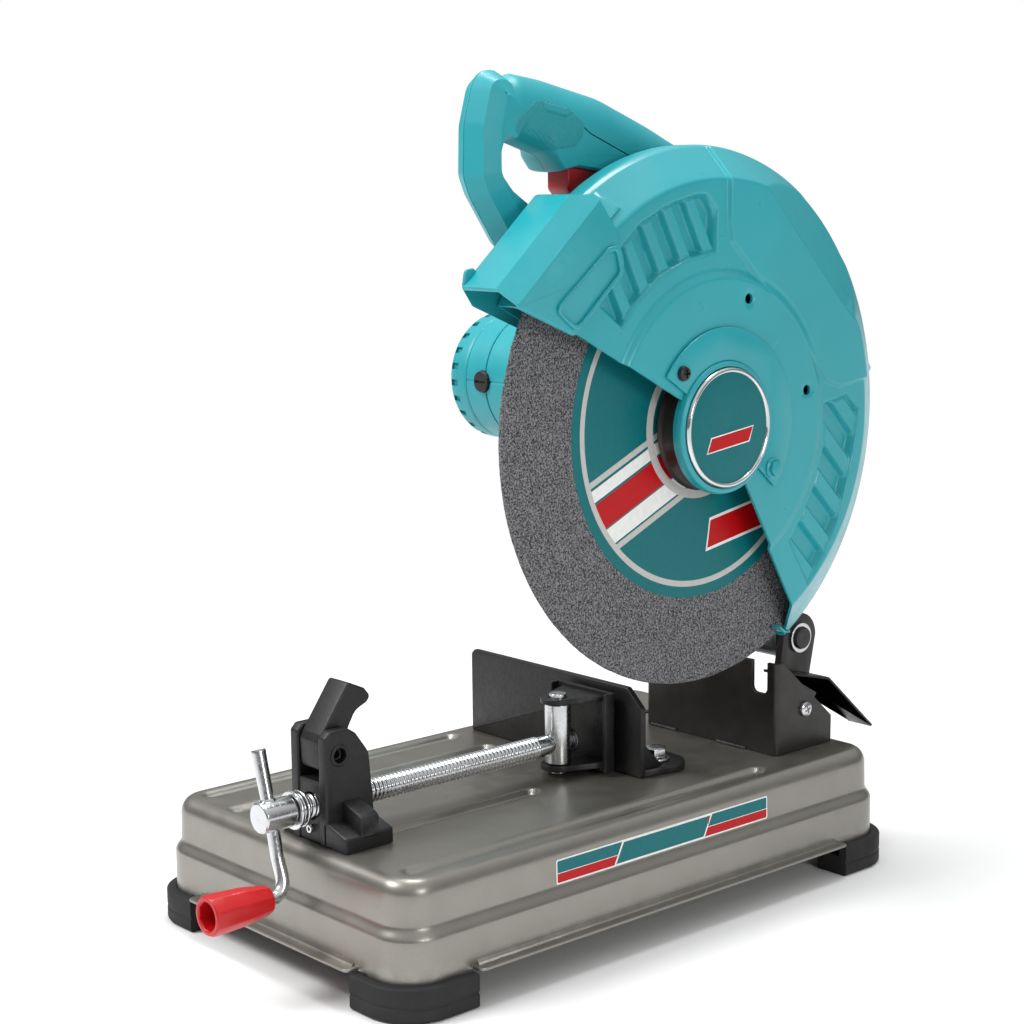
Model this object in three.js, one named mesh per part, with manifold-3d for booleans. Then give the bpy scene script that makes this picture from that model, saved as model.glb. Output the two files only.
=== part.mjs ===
// Abrasive chop saw, 355 mm wheel. Millimetres, +X the machine's right, +Y the rear, +Z up.
// The head is modelled raised, its dimensions taken from the floor under the base's middle.
// The whole saw is then moved by ORIGIN_SHIFT, so that the origin is on the floor, under the
// middle of its bounding box.

import * as THREE from 'three';
import { mergeVertices } from 'three/addons/utils/BufferGeometryUtils.js';
import Module from 'manifold-3d';

const wasm = await Module();
wasm.setup();

// ---------------------------------------------------------------- driving dimensions

const ORIGIN_SHIFT = { x: 12, y: 15 };
const REST = 0.2; // gap between two pieces that rest on each other
const RUN = 0.35; // radial gap of a turning or sliding fit

const SHEET = 2; // base sheet thickness
const WALL_X = 127; // half width of the base's upper wall
const WALL_Y = 218.5; // half length of the base's upper wall
const CORNER = 22; // plan radius of the base's corners
const SKIRT = 4.5; // how far the lower skirt stands out from the upper wall
const LIP = 9; // how far the bottom lips stand out from the skirt
const DECK = 84; // height of the base's top face
const LIP_Z = 23; // underside of the bottom lips
const LEG_Z = 14; // underside of the corner legs
const LEG_X = 36; // length of a leg along X
const LEG_Y = 43; // length of a leg along Y

const WHEEL_R = 177.5;
const WHEEL_T = 3.2;
const WHEEL = { x: 79, y: 78.5, z: 326 };
const WHEEL_X = [WHEEL.x - WHEEL_T / 2, WHEEL.x + WHEEL_T / 2];
const PIVOT = { y: 203, z: 157 }; // hinge axis of the head, along X
const SHAFT_R = 8;

const MODULE = 1.72; // of the reduction gears
const GEAR_TEETH = 32;
const PINION_TEETH = 8;
const GEAR_DISTANCE = (MODULE * (GEAR_TEETH + PINION_TEETH)) / 2;
const MOTOR_LEAN = 0.51; // radians, direction from the spindle to the motor axis, above +Y
const MOTOR = {
  y: WHEEL.y + GEAR_DISTANCE * Math.cos(MOTOR_LEAN),
  z: WHEEL.z + GEAR_DISTANCE * Math.sin(MOTOR_LEAN),
};
const MOTOR_R = 48;
const CASE_X = [6, 61.6]; // gear case, left and right faces
const GEAR_CASE_R = 58; // gear case round the spindle
const NOSE_CASE_R = 50; // gear case round the motor axis
const MOTOR_X = [-140, 5.7]; // motor housing, rear and front ends
const CAP_REAR = -164; // rear end of the motor
const BRUSH_X = -121;

const GUARD_X = [62, 103]; // guard, left and right faces
const GUARD_R = 186;
const GUARD_SHEET = 3;
const GUARD_FRONT = 28; // degrees above -Y where the guard opens at the front
const GUARD_REAR = 240; // degrees where it ends behind the wheel
const GUARD_TAPER = 24; // how far the rim narrows towards the right face
const RIM_FLAT = 16; // width of the rim's straight part
const HUB_R = 45; // opening in the guard round the hub
const COVER_X = [GUARD_X[1] + REST, GUARD_X[1] + 2.7]; // centre cover, left and right faces
const COVER_SCREW_R = 57;
const COVER_SCREWS = [43, 214]; // degrees

const HANDLE_X = 30; // parting plane of the handle's two halves
const HANDLE_HALF = 18;
const CABLE_Z = 425;

const VISE = { x: 20, z: 107 }; // lead screw axis, along Y
const SCREW_R = 7.8;
const JAW_PIN_Y = 3.5;
const BLOCK_Y = [-208, -171]; // nut block, front and rear faces
const BLOCK_HALF = 18.5;
const LEVER_PIN = { y: -197, z: 141 };
const LEVER_PIN_R = 4;
const CRANK_Y = -237;
const CRANK_R = 4.3;
const GRIP = { x: 33, z: 60 }; // axis of the crank's grip

const FENCE_Y = 36.5; // clamping face of the fence
const FENCE_PIVOT = { x: 52, y: 66 };
const FENCE_LOCK = { x: -97, y: 57 };
const FENCE_SWING = 45; // degrees
const APRON_TOP = DECK + REST + 5;

const BRACKET_X = [-34, 95];
const BRACKET_Y = [144.5, 205];
const BRACKET_TOP = 151;
const CHEEK_X = [-12, 60]; // left faces of the two cheeks
const CHEEK_T = 6;
const DEFLECTOR_PIVOT = { y: 175, z: 113.8 };
const STOP = { x: 27, y: 165 }; // depth stop bolt

// ---------------------------------------------------------------- materials

function finish(colour, roughness, metalness) {
  return new THREE.MeshStandardMaterial({ color: colour, roughness, metalness });
}

const TEAL_PAINT = finish(0x2ba3ab, 0.35, 0.1);
const TEAL_PLASTIC = finish(0x2b9ca4, 0.5, 0);
const TEAL_LABEL = finish(0x0f767b, 0.4, 0);
const GREY_PAINT = finish(0x8f8d86, 0.4, 0.6);
const BLACK_PAINT = finish(0x2a2826, 0.45, 0.3);
const CAST_ALUMINIUM = finish(0x9a9b9a, 0.5, 0.9);
const STEEL = finish(0x8c8c8c, 0.35, 1);
const ZINC = finish(0xc8cacc, 0.2, 1);
const COPPER = finish(0xa8623a, 0.4, 0.9);
const RED_PLASTIC = finish(0xd01018, 0.4, 0);
const BLACK_PLASTIC = finish(0x1d1d1e, 0.6, 0);
const RUBBER = finish(0x262626, 0.8, 0);
const ABRASIVE = finish(0x4a4a4a, 0.95, 0);

// ---------------------------------------------------------------- shape helpers

const TURN = {
  x: new THREE.Matrix4().set(0, 0, 1, 0, 1, 0, 0, 0, 0, 1, 0, 0, 0, 0, 0, 1),
  y: new THREE.Matrix4().set(1, 0, 0, 0, 0, 0, -1, 0, 0, 1, 0, 0, 0, 0, 0, 1),
  z: new THREE.Matrix4(),
};

function toSolid(geometry) {
  const bare = geometry.clone();
  bare.deleteAttribute('normal');
  bare.deleteAttribute('uv');
  const merged = mergeVertices(bare, 1e-4);
  return new wasm.Manifold(
    new wasm.Mesh({
      numProp: 3,
      vertProperties: new Float32Array(merged.attributes.position.array),
      triVerts: new Uint32Array(merged.index.array),
    })
  );
}

function toGeometry(solid) {
  const mesh = solid.getMesh();
  const geometry = new THREE.BufferGeometry();
  geometry.setAttribute('position', new THREE.BufferAttribute(mesh.vertProperties, 3));
  geometry.setIndex(new THREE.BufferAttribute(mesh.triVerts, 1));
  geometry.computeVertexNormals();
  return geometry;
}

function join(...geometries) {
  return toGeometry(geometries.map(toSolid).reduce((a, b) => a.add(b)));
}

function cut(body, ...tools) {
  return toGeometry(tools.map(toSolid).reduce((a, b) => a.subtract(b), toSolid(body)));
}

function common(a, b) {
  return toGeometry(toSolid(a).intersect(toSolid(b)));
}

function box(x0, x1, y0, y1, z0, z1) {
  const geometry = new THREE.BoxGeometry(x1 - x0, y1 - y0, z1 - z0);
  return geometry.translate((x0 + x1) / 2, (y0 + y1) / 2, (z0 + z1) / 2);
}

// Shape from corner points. Prisms use (y, z) along x, (x, z) along y and (x, y) along z.
function outline(points) {
  return new THREE.Shape(points.map(([u, v]) => new THREE.Vector2(u, v)));
}

function prism(axis, shape, from, to, segments = 12) {
  const settings = { depth: to - from, bevelEnabled: false, curveSegments: segments };
  const geometry = new THREE.ExtrudeGeometry(shape, settings);
  geometry.applyMatrix4(TURN[axis]);
  const start = axis === 'y' ? to : from;
  const offset = { x: [start, 0, 0], y: [0, start, 0], z: [0, 0, start] }[axis];
  return geometry.translate(...offset);
}

// Straight round bar along an axis; u and v are its centre in the prism's plane.
function rod(axis, radius, from, to, u, v, sides = 20) {
  const geometry = new THREE.CylinderGeometry(radius, radius, to - from, sides);
  geometry.rotateX(Math.PI / 2);
  geometry.applyMatrix4(TURN[axis]);
  const middle = (from + to) / 2;
  const offset = { x: [middle, u, v], y: [u, middle, v], z: [u, v, middle] }[axis];
  return geometry.translate(...offset);
}

// Body turned about an axis from [radius, distance along the axis] points.
function turned(axis, profile, u, v, sides = 24) {
  const points = profile.map(([r, d]) => new THREE.Vector2(r, d));
  const geometry = new THREE.LatheGeometry(points, sides);
  if (axis === 'x') {
    geometry.rotateZ(-Math.PI / 2);
    return geometry.translate(0, u, v);
  }
  if (axis === 'z') {
    geometry.rotateX(Math.PI / 2);
    return geometry.translate(u, v, 0);
  }
  return geometry.translate(u, 0, v);
}

function ring(axis, inner, outer, from, to, u, v, sides = 24) {
  const profile = [[inner, from], [outer, from], [outer, to], [inner, to], [inner, from]];
  return turned(axis, profile, u, v, sides);
}

// Closed skin through levels [distance, points] along an axis; points run anticlockwise.
function loft(axis, levels) {
  const count = levels[0][1].length;
  const position = levels.flatMap(([d, points]) => points.flatMap(([u, v]) => [u, v, d]));
  const index = [];
  for (let k = 0; k + 1 < levels.length; k++) {
    for (let i = 0; i < count; i++) {
      const a = k * count + i;
      const b = k * count + ((i + 1) % count);
      index.push(a, b, b + count, a, b + count, a + count);
    }
  }
  const last = (levels.length - 1) * count;
  const ends = [levels[0][1], levels[levels.length - 1][1]];
  const faces = ends.map((points) => {
    return THREE.ShapeUtils.triangulateShape(outline(points).getPoints(), []);
  });
  faces[0].forEach(([a, b, c]) => index.push(a, c, b));
  faces[1].forEach(([a, b, c]) => index.push(last + a, last + b, last + c));
  const geometry = new THREE.BufferGeometry();
  geometry.setAttribute('position', new THREE.Float32BufferAttribute(position, 3));
  geometry.setIndex(index);
  return geometry.applyMatrix4(TURN[axis]);
}

function hexagon(radius, u, v) {
  return outline(arc(radius, u, v, 0, 300, 5));
}

// Points on an arc, angles in degrees from +u towards +v.
function arc(radius, u, v, from, to, steps) {
  const points = [];
  for (let i = 0; i <= steps; i++) {
    const angle = THREE.MathUtils.degToRad(from + ((to - from) * i) / steps);
    points.push([u + radius * Math.cos(angle), v + radius * Math.sin(angle)]);
  }
  return points;
}

function roundedRectangle(halfX, halfY, radius) {
  const corners = [[1, 1, 0], [-1, 1, 90], [-1, -1, 180], [1, -1, 270]];
  return corners.flatMap(([sx, sy, start]) =>
    arc(radius, sx * (halfX - radius), sy * (halfY - radius), start, start + 90, 4)
  );
}

// Body with a round wire section along a smooth curve through points.
function wire(points, radius, steps, sides = 8) {
  const path = new THREE.CatmullRomCurve3(points.map((p) => new THREE.Vector3(...p)));
  const section = outline(arc(radius, 0, 0, 0, 360 - 360 / sides, sides - 1));
  return new THREE.ExtrudeGeometry(section, { steps, extrudePath: path, bevelEnabled: false });
}

const saw = new THREE.Group();

function part(name, geometry, material) {
  const mesh = new THREE.Mesh(geometry, material);
  mesh.name = name;
  saw.add(mesh);
}

// ---------------------------------------------------------------- base

// Plan outline of the base, grown outward from the upper wall by an offset.
function baseOutline(offset) {
  return roundedRectangle(WALL_X + offset, WALL_Y + offset, CORNER + offset);
}

// Outside of the base from the legs to the deck, or its inside when inset by the sheet.
function baseSkin(inset) {
  const profile = [
    [SKIRT, LEG_Z], [SKIRT, 49], [SKIRT - 1, 52], [0.5, 56], [0, 74], [-3, 80.5], [-10, DECK],
  ];
  return loft('z', profile.map(([offset, z]) => {
    return [z - inset * (z > LEG_Z), baseOutline(offset - inset)];
  }));
}

function groove(x, from, to, half, depth) {
  const ends = [...arc(half, x, to - half, 0, 180, 8), ...arc(half, x, from + half, 180, 360, 8)];
  return prism('z', outline(ends), DECK - depth, DECK + 1);
}

function basePan() {
  const grooves = [[107, -203, 118], [-107, -203, 20], [-67, -210, 20], [37, -165, -30]];
  const [half, depth] = [7, 3.5];
  const sides = [-1, 1];
  const skirtX = WALL_X + SKIRT;
  const skirtY = WALL_Y + SKIRT;
  const mouth = baseOutline(SKIRT - SHEET);
  const cavity = cut(
    join(baseSkin(SHEET), loft('z', [[0, mouth], [LEG_Z + 1, mouth]])),
    ...grooves.map(([x, from, to]) => groove(x, from - SHEET, to + SHEET, half + SHEET, depth + SHEET))
  );
  const pressed = grooves.map(([x, from, to]) => groove(x, from, to, half, depth));
  const shell = cut(baseSkin(0), cavity, ...pressed);
  const opened = cut(
    shell,
    box(-skirtX + LEG_X, skirtX - LEG_X, -skirtY - 5, skirtY + 5, 0, LIP_Z),
    box(-skirtX - 5, skirtX + 5, -skirtY + LEG_Y, skirtY - LEG_Y, 0, LIP_Z)
  );
  const lips = sides.flatMap((side) => {
    const [x0, x1] = [side * (skirtX - SHEET), side * (skirtX + LIP)].sort((a, b) => a - b);
    const [y0, y1] = [side * (skirtY - SHEET), side * (skirtY + LIP)].sort((a, b) => a - b);
    const reachX = skirtX - LEG_X - LIP;
    const reachY = skirtY - LEG_Y - LIP;
    return [
      box(x0, x1, -reachY, reachY, LIP_Z, LIP_Z + SHEET),
      box(-reachX, reachX, y0, y1, LIP_Z, LIP_Z + SHEET),
    ];
  });
  const sole = baseOutline(SKIRT - 0.5);
  const pad = loft('z', [[LEG_Z, sole], [LEG_Z + SHEET, sole]]);
  const pads = sides.flatMap((sx) => {
    return sides.map((sy) => common(pad, cornerBlock(sx, sy, LEG_X - 1, LEG_Y - 1)));
  });
  const radius = Math.hypot(FENCE_LOCK.x - FENCE_PIVOT.x, FENCE_LOCK.y - FENCE_PIVOT.y);
  const start = THREE.MathUtils.radToDeg(
    Math.atan2(FENCE_LOCK.y - FENCE_PIVOT.y, FENCE_LOCK.x - FENCE_PIVOT.x)
  );
  const sweep = [start + 363, start + 357 - FENCE_SWING];
  const slot = outline([
    ...arc(radius + 5.5, FENCE_PIVOT.x, FENCE_PIVOT.y, sweep[1], sweep[0], 12),
    ...arc(radius - 5.5, FENCE_PIVOT.x, FENCE_PIVOT.y, sweep[0], sweep[1], 12),
  ]);
  return cut(
    join(opened, ...lips, ...pads),
    prism('z', slot, DECK - 10, DECK + 2),
    rod('z', 5.4, DECK - 10, DECK + 2, FENCE_PIVOT.x, FENCE_PIVOT.y)
  );
}

// Block covering one corner of the base, from the skirt inward.
function cornerBlock(sx, sy, lengthX, lengthY, grow = 0) {
  const edgeX = sx * (WALL_X + SKIRT + grow);
  const edgeY = sy * (WALL_Y + SKIRT + grow);
  const [x0, x1] = [edgeX, edgeX - sx * lengthX].sort((a, b) => a - b);
  const [y0, y1] = [edgeY, edgeY - sy * lengthY].sort((a, b) => a - b);
  return box(x0, x1, y0, y1, -1, 60);
}

function rubberFoot(sx, sy) {
  const wall = 7;
  const outside = baseOutline(SKIRT + wall);
  const block = loft('z', [[0, baseOutline(SKIRT + wall - 1.5)], [3, outside], [22, outside]]);
  const foot = common(block, cornerBlock(sx, sy, LEG_X + 9, LEG_Y + 9, wall));
  const pocket = baseOutline(SKIRT + REST);
  return cut(foot, loft('z', [[LEG_Z - REST, pocket], [30, pocket]]));
}

part('base_pan', basePan(), GREY_PAINT);
part('rubber_foot_front_right', rubberFoot(1, -1), RUBBER);
part('rubber_foot_front_left', rubberFoot(-1, -1), RUBBER);
part('rubber_foot_rear_right', rubberFoot(1, 1), RUBBER);
part('rubber_foot_rear_left', rubberFoot(-1, 1), RUBBER);

// ---------------------------------------------------------------- hinge bracket and deflector

function hingeBracket() {
  const [x0, x1] = BRACKET_X;
  const [y0, y1] = BRACKET_Y;
  const floor = DECK + REST;
  const wall = 3;
  const side = outline([[y0, floor], [y1, floor], [y1, 104], [150, BRACKET_TOP], [y0, BRACKET_TOP]]);
  const cheek = outline([[172, floor], [y1, floor], ...arc(18, PIVOT.y, PIVOT.z, 0, 180, 12)]);
  const slot = WHEEL.x - 7;
  const plates = [
    box(x0, x1, y0, y1, floor, floor + wall),
    prism('x', side, x0, x0 + wall),
    prism('x', side, x1 - wall, x1),
    ...CHEEK_X.map((x) => prism('x', cheek, x, x + CHEEK_T)),
  ];
  return cut(
    join(box(x0, x1, y0, y0 + wall, floor, BRACKET_TOP), ...plates),
    box(slot, slot + 14, y0 - 1, y0 + wall + 1, 128, BRACKET_TOP + 1),
    rod('x', SHAFT_R + REST, -40, 70, PIVOT.y, PIVOT.z),
    rod('x', 3.3, x1 - wall - 1, x1 + 1, DEFLECTOR_PIVOT.y, DEFLECTOR_PIVOT.z, 16)
  );
}

function returnSpring() {
  const [coils, radius, length] = [4, 12, 11];
  const steps = coils * 10;
  const points = [];
  for (let i = 0; i <= steps; i++) {
    const angle = (i / steps) * coils * 2 * Math.PI;
    const [y, z] = [PIVOT.y + radius * Math.cos(angle), PIVOT.z + radius * Math.sin(angle)];
    points.push([-2 + (length * i) / steps, y, z]);
  }
  return wire(points, 1.1, steps, 6);
}

function sparkDeflector() {
  const sheet = outline([[160, 141], [207, 131], [258, 86], [256.7, 84.5], [206, 129], [160, 139]]);
  const lug = outline([[163, 139.5], [200, 131], [181, 106], [169, 106]]);
  return cut(
    join(prism('x', sheet, 69, 91), prism('x', lug, 89, 91)),
    rod('x', 3.3, 88, 92, DEFLECTOR_PIVOT.y, DEFLECTOR_PIVOT.z, 16)
  );
}

part('hinge_bracket', hingeBracket(), BLACK_PAINT);
part('hinge_shaft', rod('x', SHAFT_R, -16, 70, PIVOT.y, PIVOT.z), ZINC);
part('shaft_circlip', ring('x', SHAFT_R + REST, 11, 66.3, 67.8, PIVOT.y, PIVOT.z), STEEL);
part('return_spring', returnSpring(), STEEL);
part('depth_stop_nut', cut(
  prism('z', hexagon(7.5, STOP.x, STOP.y), DECK + 3.6, DECK + 10),
  rod('z', 4.2, DECK, DECK + 20, STOP.x, STOP.y)
), ZINC);
part('depth_stop_bolt', join(
  rod('z', 4, DECK + 3.6, 147, STOP.x, STOP.y),
  prism('z', hexagon(7.5, STOP.x, STOP.y), 146, 152)
), ZINC);
part('spark_deflector', sparkDeflector(), BLACK_PAINT);
part('deflector_screw', join(
  rod('x', 2.9, 86, 96, DEFLECTOR_PIVOT.y, DEFLECTOR_PIVOT.z, 16),
  rod('x', 5.5, 95.3, 98.3, DEFLECTOR_PIVOT.y, DEFLECTOR_PIVOT.z, 16)
), ZINC);

// ---------------------------------------------------------------- fence

function fence() {
  const [front, back, foot] = [FENCE_Y, FENCE_Y + 5, DECK + REST];
  const plate = outline([
    [-100, foot], [68, foot], [68, 133], [54, 146], [-107, 146], [-110, 143], [-110, 92],
  ]);
  const boss = arc(21, FENCE_PIVOT.x, FENCE_PIVOT.y, 5, 70, 6);
  const apron = outline([[12, back - 1], [67, back - 1], [71, 60], ...boss, [40, 88], [12, 88]]);
  return cut(
    join(
      prism('y', plate, front, back),
      prism('z', apron, foot, APRON_TOP),
      box(-110, -84, back - 1, 72, foot, APRON_TOP),
      box(-110, -84, back - 1, back + 1, foot, foot + 12)
    ),
    rod('z', 5.4, DECK, DECK + 8, FENCE_PIVOT.x, FENCE_PIVOT.y),
    rod('z', 4.8, DECK, DECK + 8, FENCE_LOCK.x, FENCE_LOCK.y)
  );
}

// Upright bolt at { x, y }: shank and head radii, then the heights of its tip, seat and top.
function hexBolt(at, shank, head, tip, seat, top) {
  return join(
    rod('z', shank, tip, seat + 1, at.x, at.y, 16),
    prism('z', hexagon(head, at.x, at.y), seat, top)
  );
}

part('fence', fence(), BLACK_PAINT);
part('fence_lock_bolt', hexBolt(FENCE_LOCK, 4.5, 8, 76, APRON_TOP + REST, 96), ZINC);
part('fence_pivot_washer', ring(
  'z', 5.2, 10, APRON_TOP + REST, APRON_TOP + 2, FENCE_PIVOT.x, FENCE_PIVOT.y
), ZINC);
part('fence_pivot_bolt', hexBolt(FENCE_PIVOT, 5, 8.5, 76, APRON_TOP + 2 + REST, 98), ZINC);

// ---------------------------------------------------------------- vise

function nutBlock() {
  const foot = DECK + REST;
  const [front, rear] = BLOCK_Y;
  const side = outline([
    [front, foot], [rear, foot], [rear, 100], [-175, 139], [-190, 157], [-203, 157], [front, 152],
  ]);
  const [x0, x1] = [VISE.x - BLOCK_HALF, VISE.x + BLOCK_HALF];
  const foothold = 19;
  const buttress = outline([[-196, foot], [-182, foot], [-182, 106], [-196, 106]]);
  return cut(
    join(
      prism('x', side, x0, x1),
      box(x1 - 1, x1 + foothold, front, rear, foot, 95),
      prism('x', buttress, x1 - 1, x1 + foothold)
    ),
    box(x0 + 8, x1 - 8, front - 1, rear + 1, 123.5, 160),
    rod('y', SCREW_R + RUN, front - 1, rear + 1, VISE.x, VISE.z),
    rod('x', LEVER_PIN_R + REST, x0 - 1, x1 + 1, LEVER_PIN.y, LEVER_PIN.z)
  );
}

function quickReleaseLever() {
  const side = outline([
    [-206, 130], [-185, 130], [-183.5, 154], [-177, 165], [-167, 168.5],
    [-165.5, 172.5], [-170, 178], [-183, 183.5], [-204.5, 153], [-206.5, 150],
  ]);
  return cut(
    prism('x', side, VISE.x - 10, VISE.x + 10),
    rod('x', LEVER_PIN_R + RUN, VISE.x - 11, VISE.x + 11, LEVER_PIN.y, LEVER_PIN.z)
  );
}

function jawPin() {
  return cut(
    join(rod('z', 9, 93, 135, VISE.x, JAW_PIN_Y), rod('z', 6, 86, 142, VISE.x, JAW_PIN_Y)),
    rod('y', 5.4, -12, 18, VISE.x, VISE.z)
  );
}

function leadScrew() {
  return cut(
    join(
      rod('y', SCREW_R, -222, -6.5, VISE.x, VISE.z),
      rod('y', 5, -8, 17, VISE.x, VISE.z),
      rod('y', 10, -246, -221, VISE.x, VISE.z)
    ),
    wire([[16.4, CRANK_Y, 147], [20, CRANK_Y, VISE.z], [26, CRANK_Y, 82]], CRANK_R + RUN, 8, 12)
  );
}

function viseJaw() {
  const half = 28.5;
  const [front, seat, face] = [21.6, 28.6, 31.6];
  const [x0, x1] = [VISE.x - half, VISE.x + half];
  const eye = arc(12, VISE.x, JAW_PIN_Y, 180, 360, 10);
  const ear = outline([[VISE.x + 22, seat + 1], [VISE.x - 22, seat + 1], ...eye]);
  return cut(
    join(
      box(x0, x1, seat, face, 87, 142),
      box(x0, x0 + 3, front, seat + 1, 87, 142),
      box(x1 - 3, x1, front, seat + 1, 87, 142),
      prism('z', ear, 88.5, 92.5),
      prism('z', ear, 135.5, 139.5)
    ),
    rod('z', 6 + RUN, 80, 150, VISE.x, JAW_PIN_Y)
  );
}

function crankBar() {
  const points = [
    [16.4, CRANK_Y, 143], [20, CRANK_Y, VISE.z], [26, CRANK_Y, 82],
    [32, CRANK_Y - 0.5, 65], [GRIP.x, -246, GRIP.z], [GRIP.x, -256, GRIP.z], [GRIP.x, -278, GRIP.z],
  ];
  return wire(points, CRANK_R, 24, 12);
}

part('nut_block', nutBlock(), BLACK_PAINT);
part('lever_pin', rod(
  'x', LEVER_PIN_R, VISE.x - BLOCK_HALF - 1, VISE.x + BLOCK_HALF + 1, LEVER_PIN.y, LEVER_PIN.z
), STEEL);
part('quick_release_lever', quickReleaseLever(), BLACK_PAINT);
part('jaw_pin', jawPin(), ZINC);
part('lead_screw', leadScrew(), ZINC);
part('screw_collar', ring('y', SCREW_R + REST, 12.5, -220.6, -213, VISE.x, VISE.z), ZINC);
part('screw_clip', ring('y', 5.2, 9, 13.4, 14.8, VISE.x, VISE.z), STEEL);
part('vise_jaw', viseJaw(), BLACK_PAINT);
part('crank_bar', crankBar(), ZINC);
part('crank_grip', turned('y', [
  [5.4, -250], [5.4, -280], [9, -284], [9, -294], [12, -294], [12, -270], [8.5, -250], [5.4, -250],
], GRIP.x, GRIP.z, 24), RED_PLASTIC);

// ---------------------------------------------------------------- wheel and spindle

// Tooth outline with generous backlash; phase turns it, in tooth pitches.
function gearOutline(teeth, y, z, addendum, phase) {
  const pitchRadius = (MODULE * teeth) / 2;
  const profile = [[-0.28, -1.15], [-0.17, 0], [-0.08, addendum]];
  const points = [];
  for (let i = 0; i < teeth; i++) {
    const flank = [...profile, ...profile.map(([t, h]) => [-t, h]).reverse()];
    for (const [t, h] of flank) {
      const angle = ((i + t + phase) / teeth) * 2 * Math.PI;
      const radius = pitchRadius + h * MODULE;
      points.push([y + radius * Math.cos(angle), z + radius * Math.sin(angle)]);
    }
  }
  return outline(points);
}

function gearPhase(teeth, direction, shift) {
  return (direction / (2 * Math.PI)) * teeth + shift;
}

const GEAR_PHASE = gearPhase(GEAR_TEETH, MOTOR_LEAN, 0);

part('spindle', turned('x', [
  [0, 11], [6, 11], [6, 22], [9, 22], [9, 50], [7.5, 50], [7.5, 62], [14, 62], [14, 66], [12.4, 66],
  [12.4, 82.4], [5.4, 82.4], [5.4, 80], [0, 80],
], WHEEL.y, WHEEL.z, 20), STEEL);
part('drive_gear', cut(
  prism('x', gearOutline(GEAR_TEETH, WHEEL.y, WHEEL.z, 0.7, GEAR_PHASE), 30, 43),
  rod('x', 9.2, 29, 44, WHEEL.y, WHEEL.z)
), STEEL);
part('inner_flange', ring('x', 12.6, 38, 70, WHEEL_X[0] - REST, WHEEL.y, WHEEL.z), STEEL);
part('cutting_wheel', ring('x', 12.7, WHEEL_R, ...WHEEL_X, WHEEL.y, WHEEL.z, 64), ABRASIVE);
part('outer_flange', turned('x', [
  [5.6, 83], [12.8, 83], [12.8, 80.9], [38, 80.9], [38, 84], [30, 87], [5.6, 87], [5.6, 83],
], WHEEL.y, WHEEL.z), STEEL);
part('clamp_bolt', join(
  rod('x', 5.2, 82.7, 88, WHEEL.y, WHEEL.z, 16),
  prism('x', hexagon(10, WHEEL.y, WHEEL.z), 87.3, 94)
), ZINC);

// ---------------------------------------------------------------- motor and gear case

function gearCase() {
  const [left, right] = CASE_X;
  const wall = 4;
  const solid = join(
    rod('x', GEAR_CASE_R, left, right, WHEEL.y, WHEEL.z, 32),
    rod('x', NOSE_CASE_R, left, right, MOTOR.y, MOTOR.z, 32)
  );
  const hollow = join(
    rod('x', GEAR_CASE_R - wall, left + wall, right - wall, WHEEL.y, WHEEL.z, 32),
    rod('x', NOSE_CASE_R - wall, left + wall, right - wall, MOTOR.y, MOTOR.z, 32)
  );
  const boss = cut(
    rod('x', 17, left + 2, 20, WHEEL.y, WHEEL.z),
    rod('x', 13.3, 11, 21, WHEEL.y, WHEEL.z)
  );
  return cut(
    join(cut(solid, hollow), boss),
    rod('x', 16.3, right - wall - 1, right + 1, WHEEL.y, WHEEL.z),
    rod('x', 14.3, left - 1, left + wall + 1, MOTOR.y, MOTOR.z),
    rod('y', 6.3, 0, 30, 22, WHEEL.z)
  );
}

function headArm() {
  const beam = outline([[190, 147.5], [216, 166.5], [129, 308], [81, 272]]);
  const solid = join(prism('x', beam, 16, 54), rod('x', 17, 12, 58, PIVOT.y, PIVOT.z, 28));
  return cut(
    solid,
    rod('x', GEAR_CASE_R + RUN, 0, 62, WHEEL.y, WHEEL.z, 32),
    rod('x', NOSE_CASE_R + RUN, 0, 62, MOTOR.y, MOTOR.z, 32),
    rod('x', SHAFT_R + RUN, 0, 62, PIVOT.y, PIVOT.z)
  );
}

function armature() {
  const phase = gearPhase(PINION_TEETH, MOTOR_LEAN + Math.PI, 0.5);
  const at = [MOTOR.y, MOTOR.z];
  return join(
    rod('x', 5, -152, 30, ...at, 20),
    prism('x', gearOutline(PINION_TEETH, ...at, 0.9, phase), 28.5, 45),
    rod('x', 26, -100, -42, ...at, 32),
    rod('x', 13, -132, -110, ...at, 24),
    rod('x', 38, -30, -18, ...at, 32)
  );
}

function motorHousing() {
  const [rear, front] = MOTOR_X;
  return cut(
    rod('x', MOTOR_R, rear, front, MOTOR.y, MOTOR.z, 32),
    rod('x', MOTOR_R - 3, rear - 1, front - 4, MOTOR.y, MOTOR.z, 32),
    rod('x', 14.6, front - 5, front + 1, MOTOR.y, MOTOR.z, 28),
    rod('y', 8.3, MOTOR.y - 60, MOTOR.y + 60, BRUSH_X, MOTOR.z)
  );
}

function motorEndCap() {
  const [rear, front] = [CAP_REAR, MOTOR_X[0] - REST];
  const inside = MOTOR_R - 6.5;
  const slots = [];
  for (let i = 0; i < 12; i++) {
    const slot = box(rear - 1, rear + 9, 26, 50, -3, 3);
    slot.rotateX((i * Math.PI) / 6);
    slots.push(slot.translate(0, MOTOR.y, MOTOR.z));
  }
  return cut(
    join(
      rod('x', MOTOR_R, rear + 4, front, MOTOR.y, MOTOR.z, 32),
      rod('x', MOTOR_R - 6, rear, rear + 5, MOTOR.y, MOTOR.z, 32)
    ),
    rod('x', inside, rear + 12, front + 1, MOTOR.y, MOTOR.z, 32),
    rod('x', 11.3, rear + 3, rear + 13, MOTOR.y, MOTOR.z, 28),
    ...slots
  );
}

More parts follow.
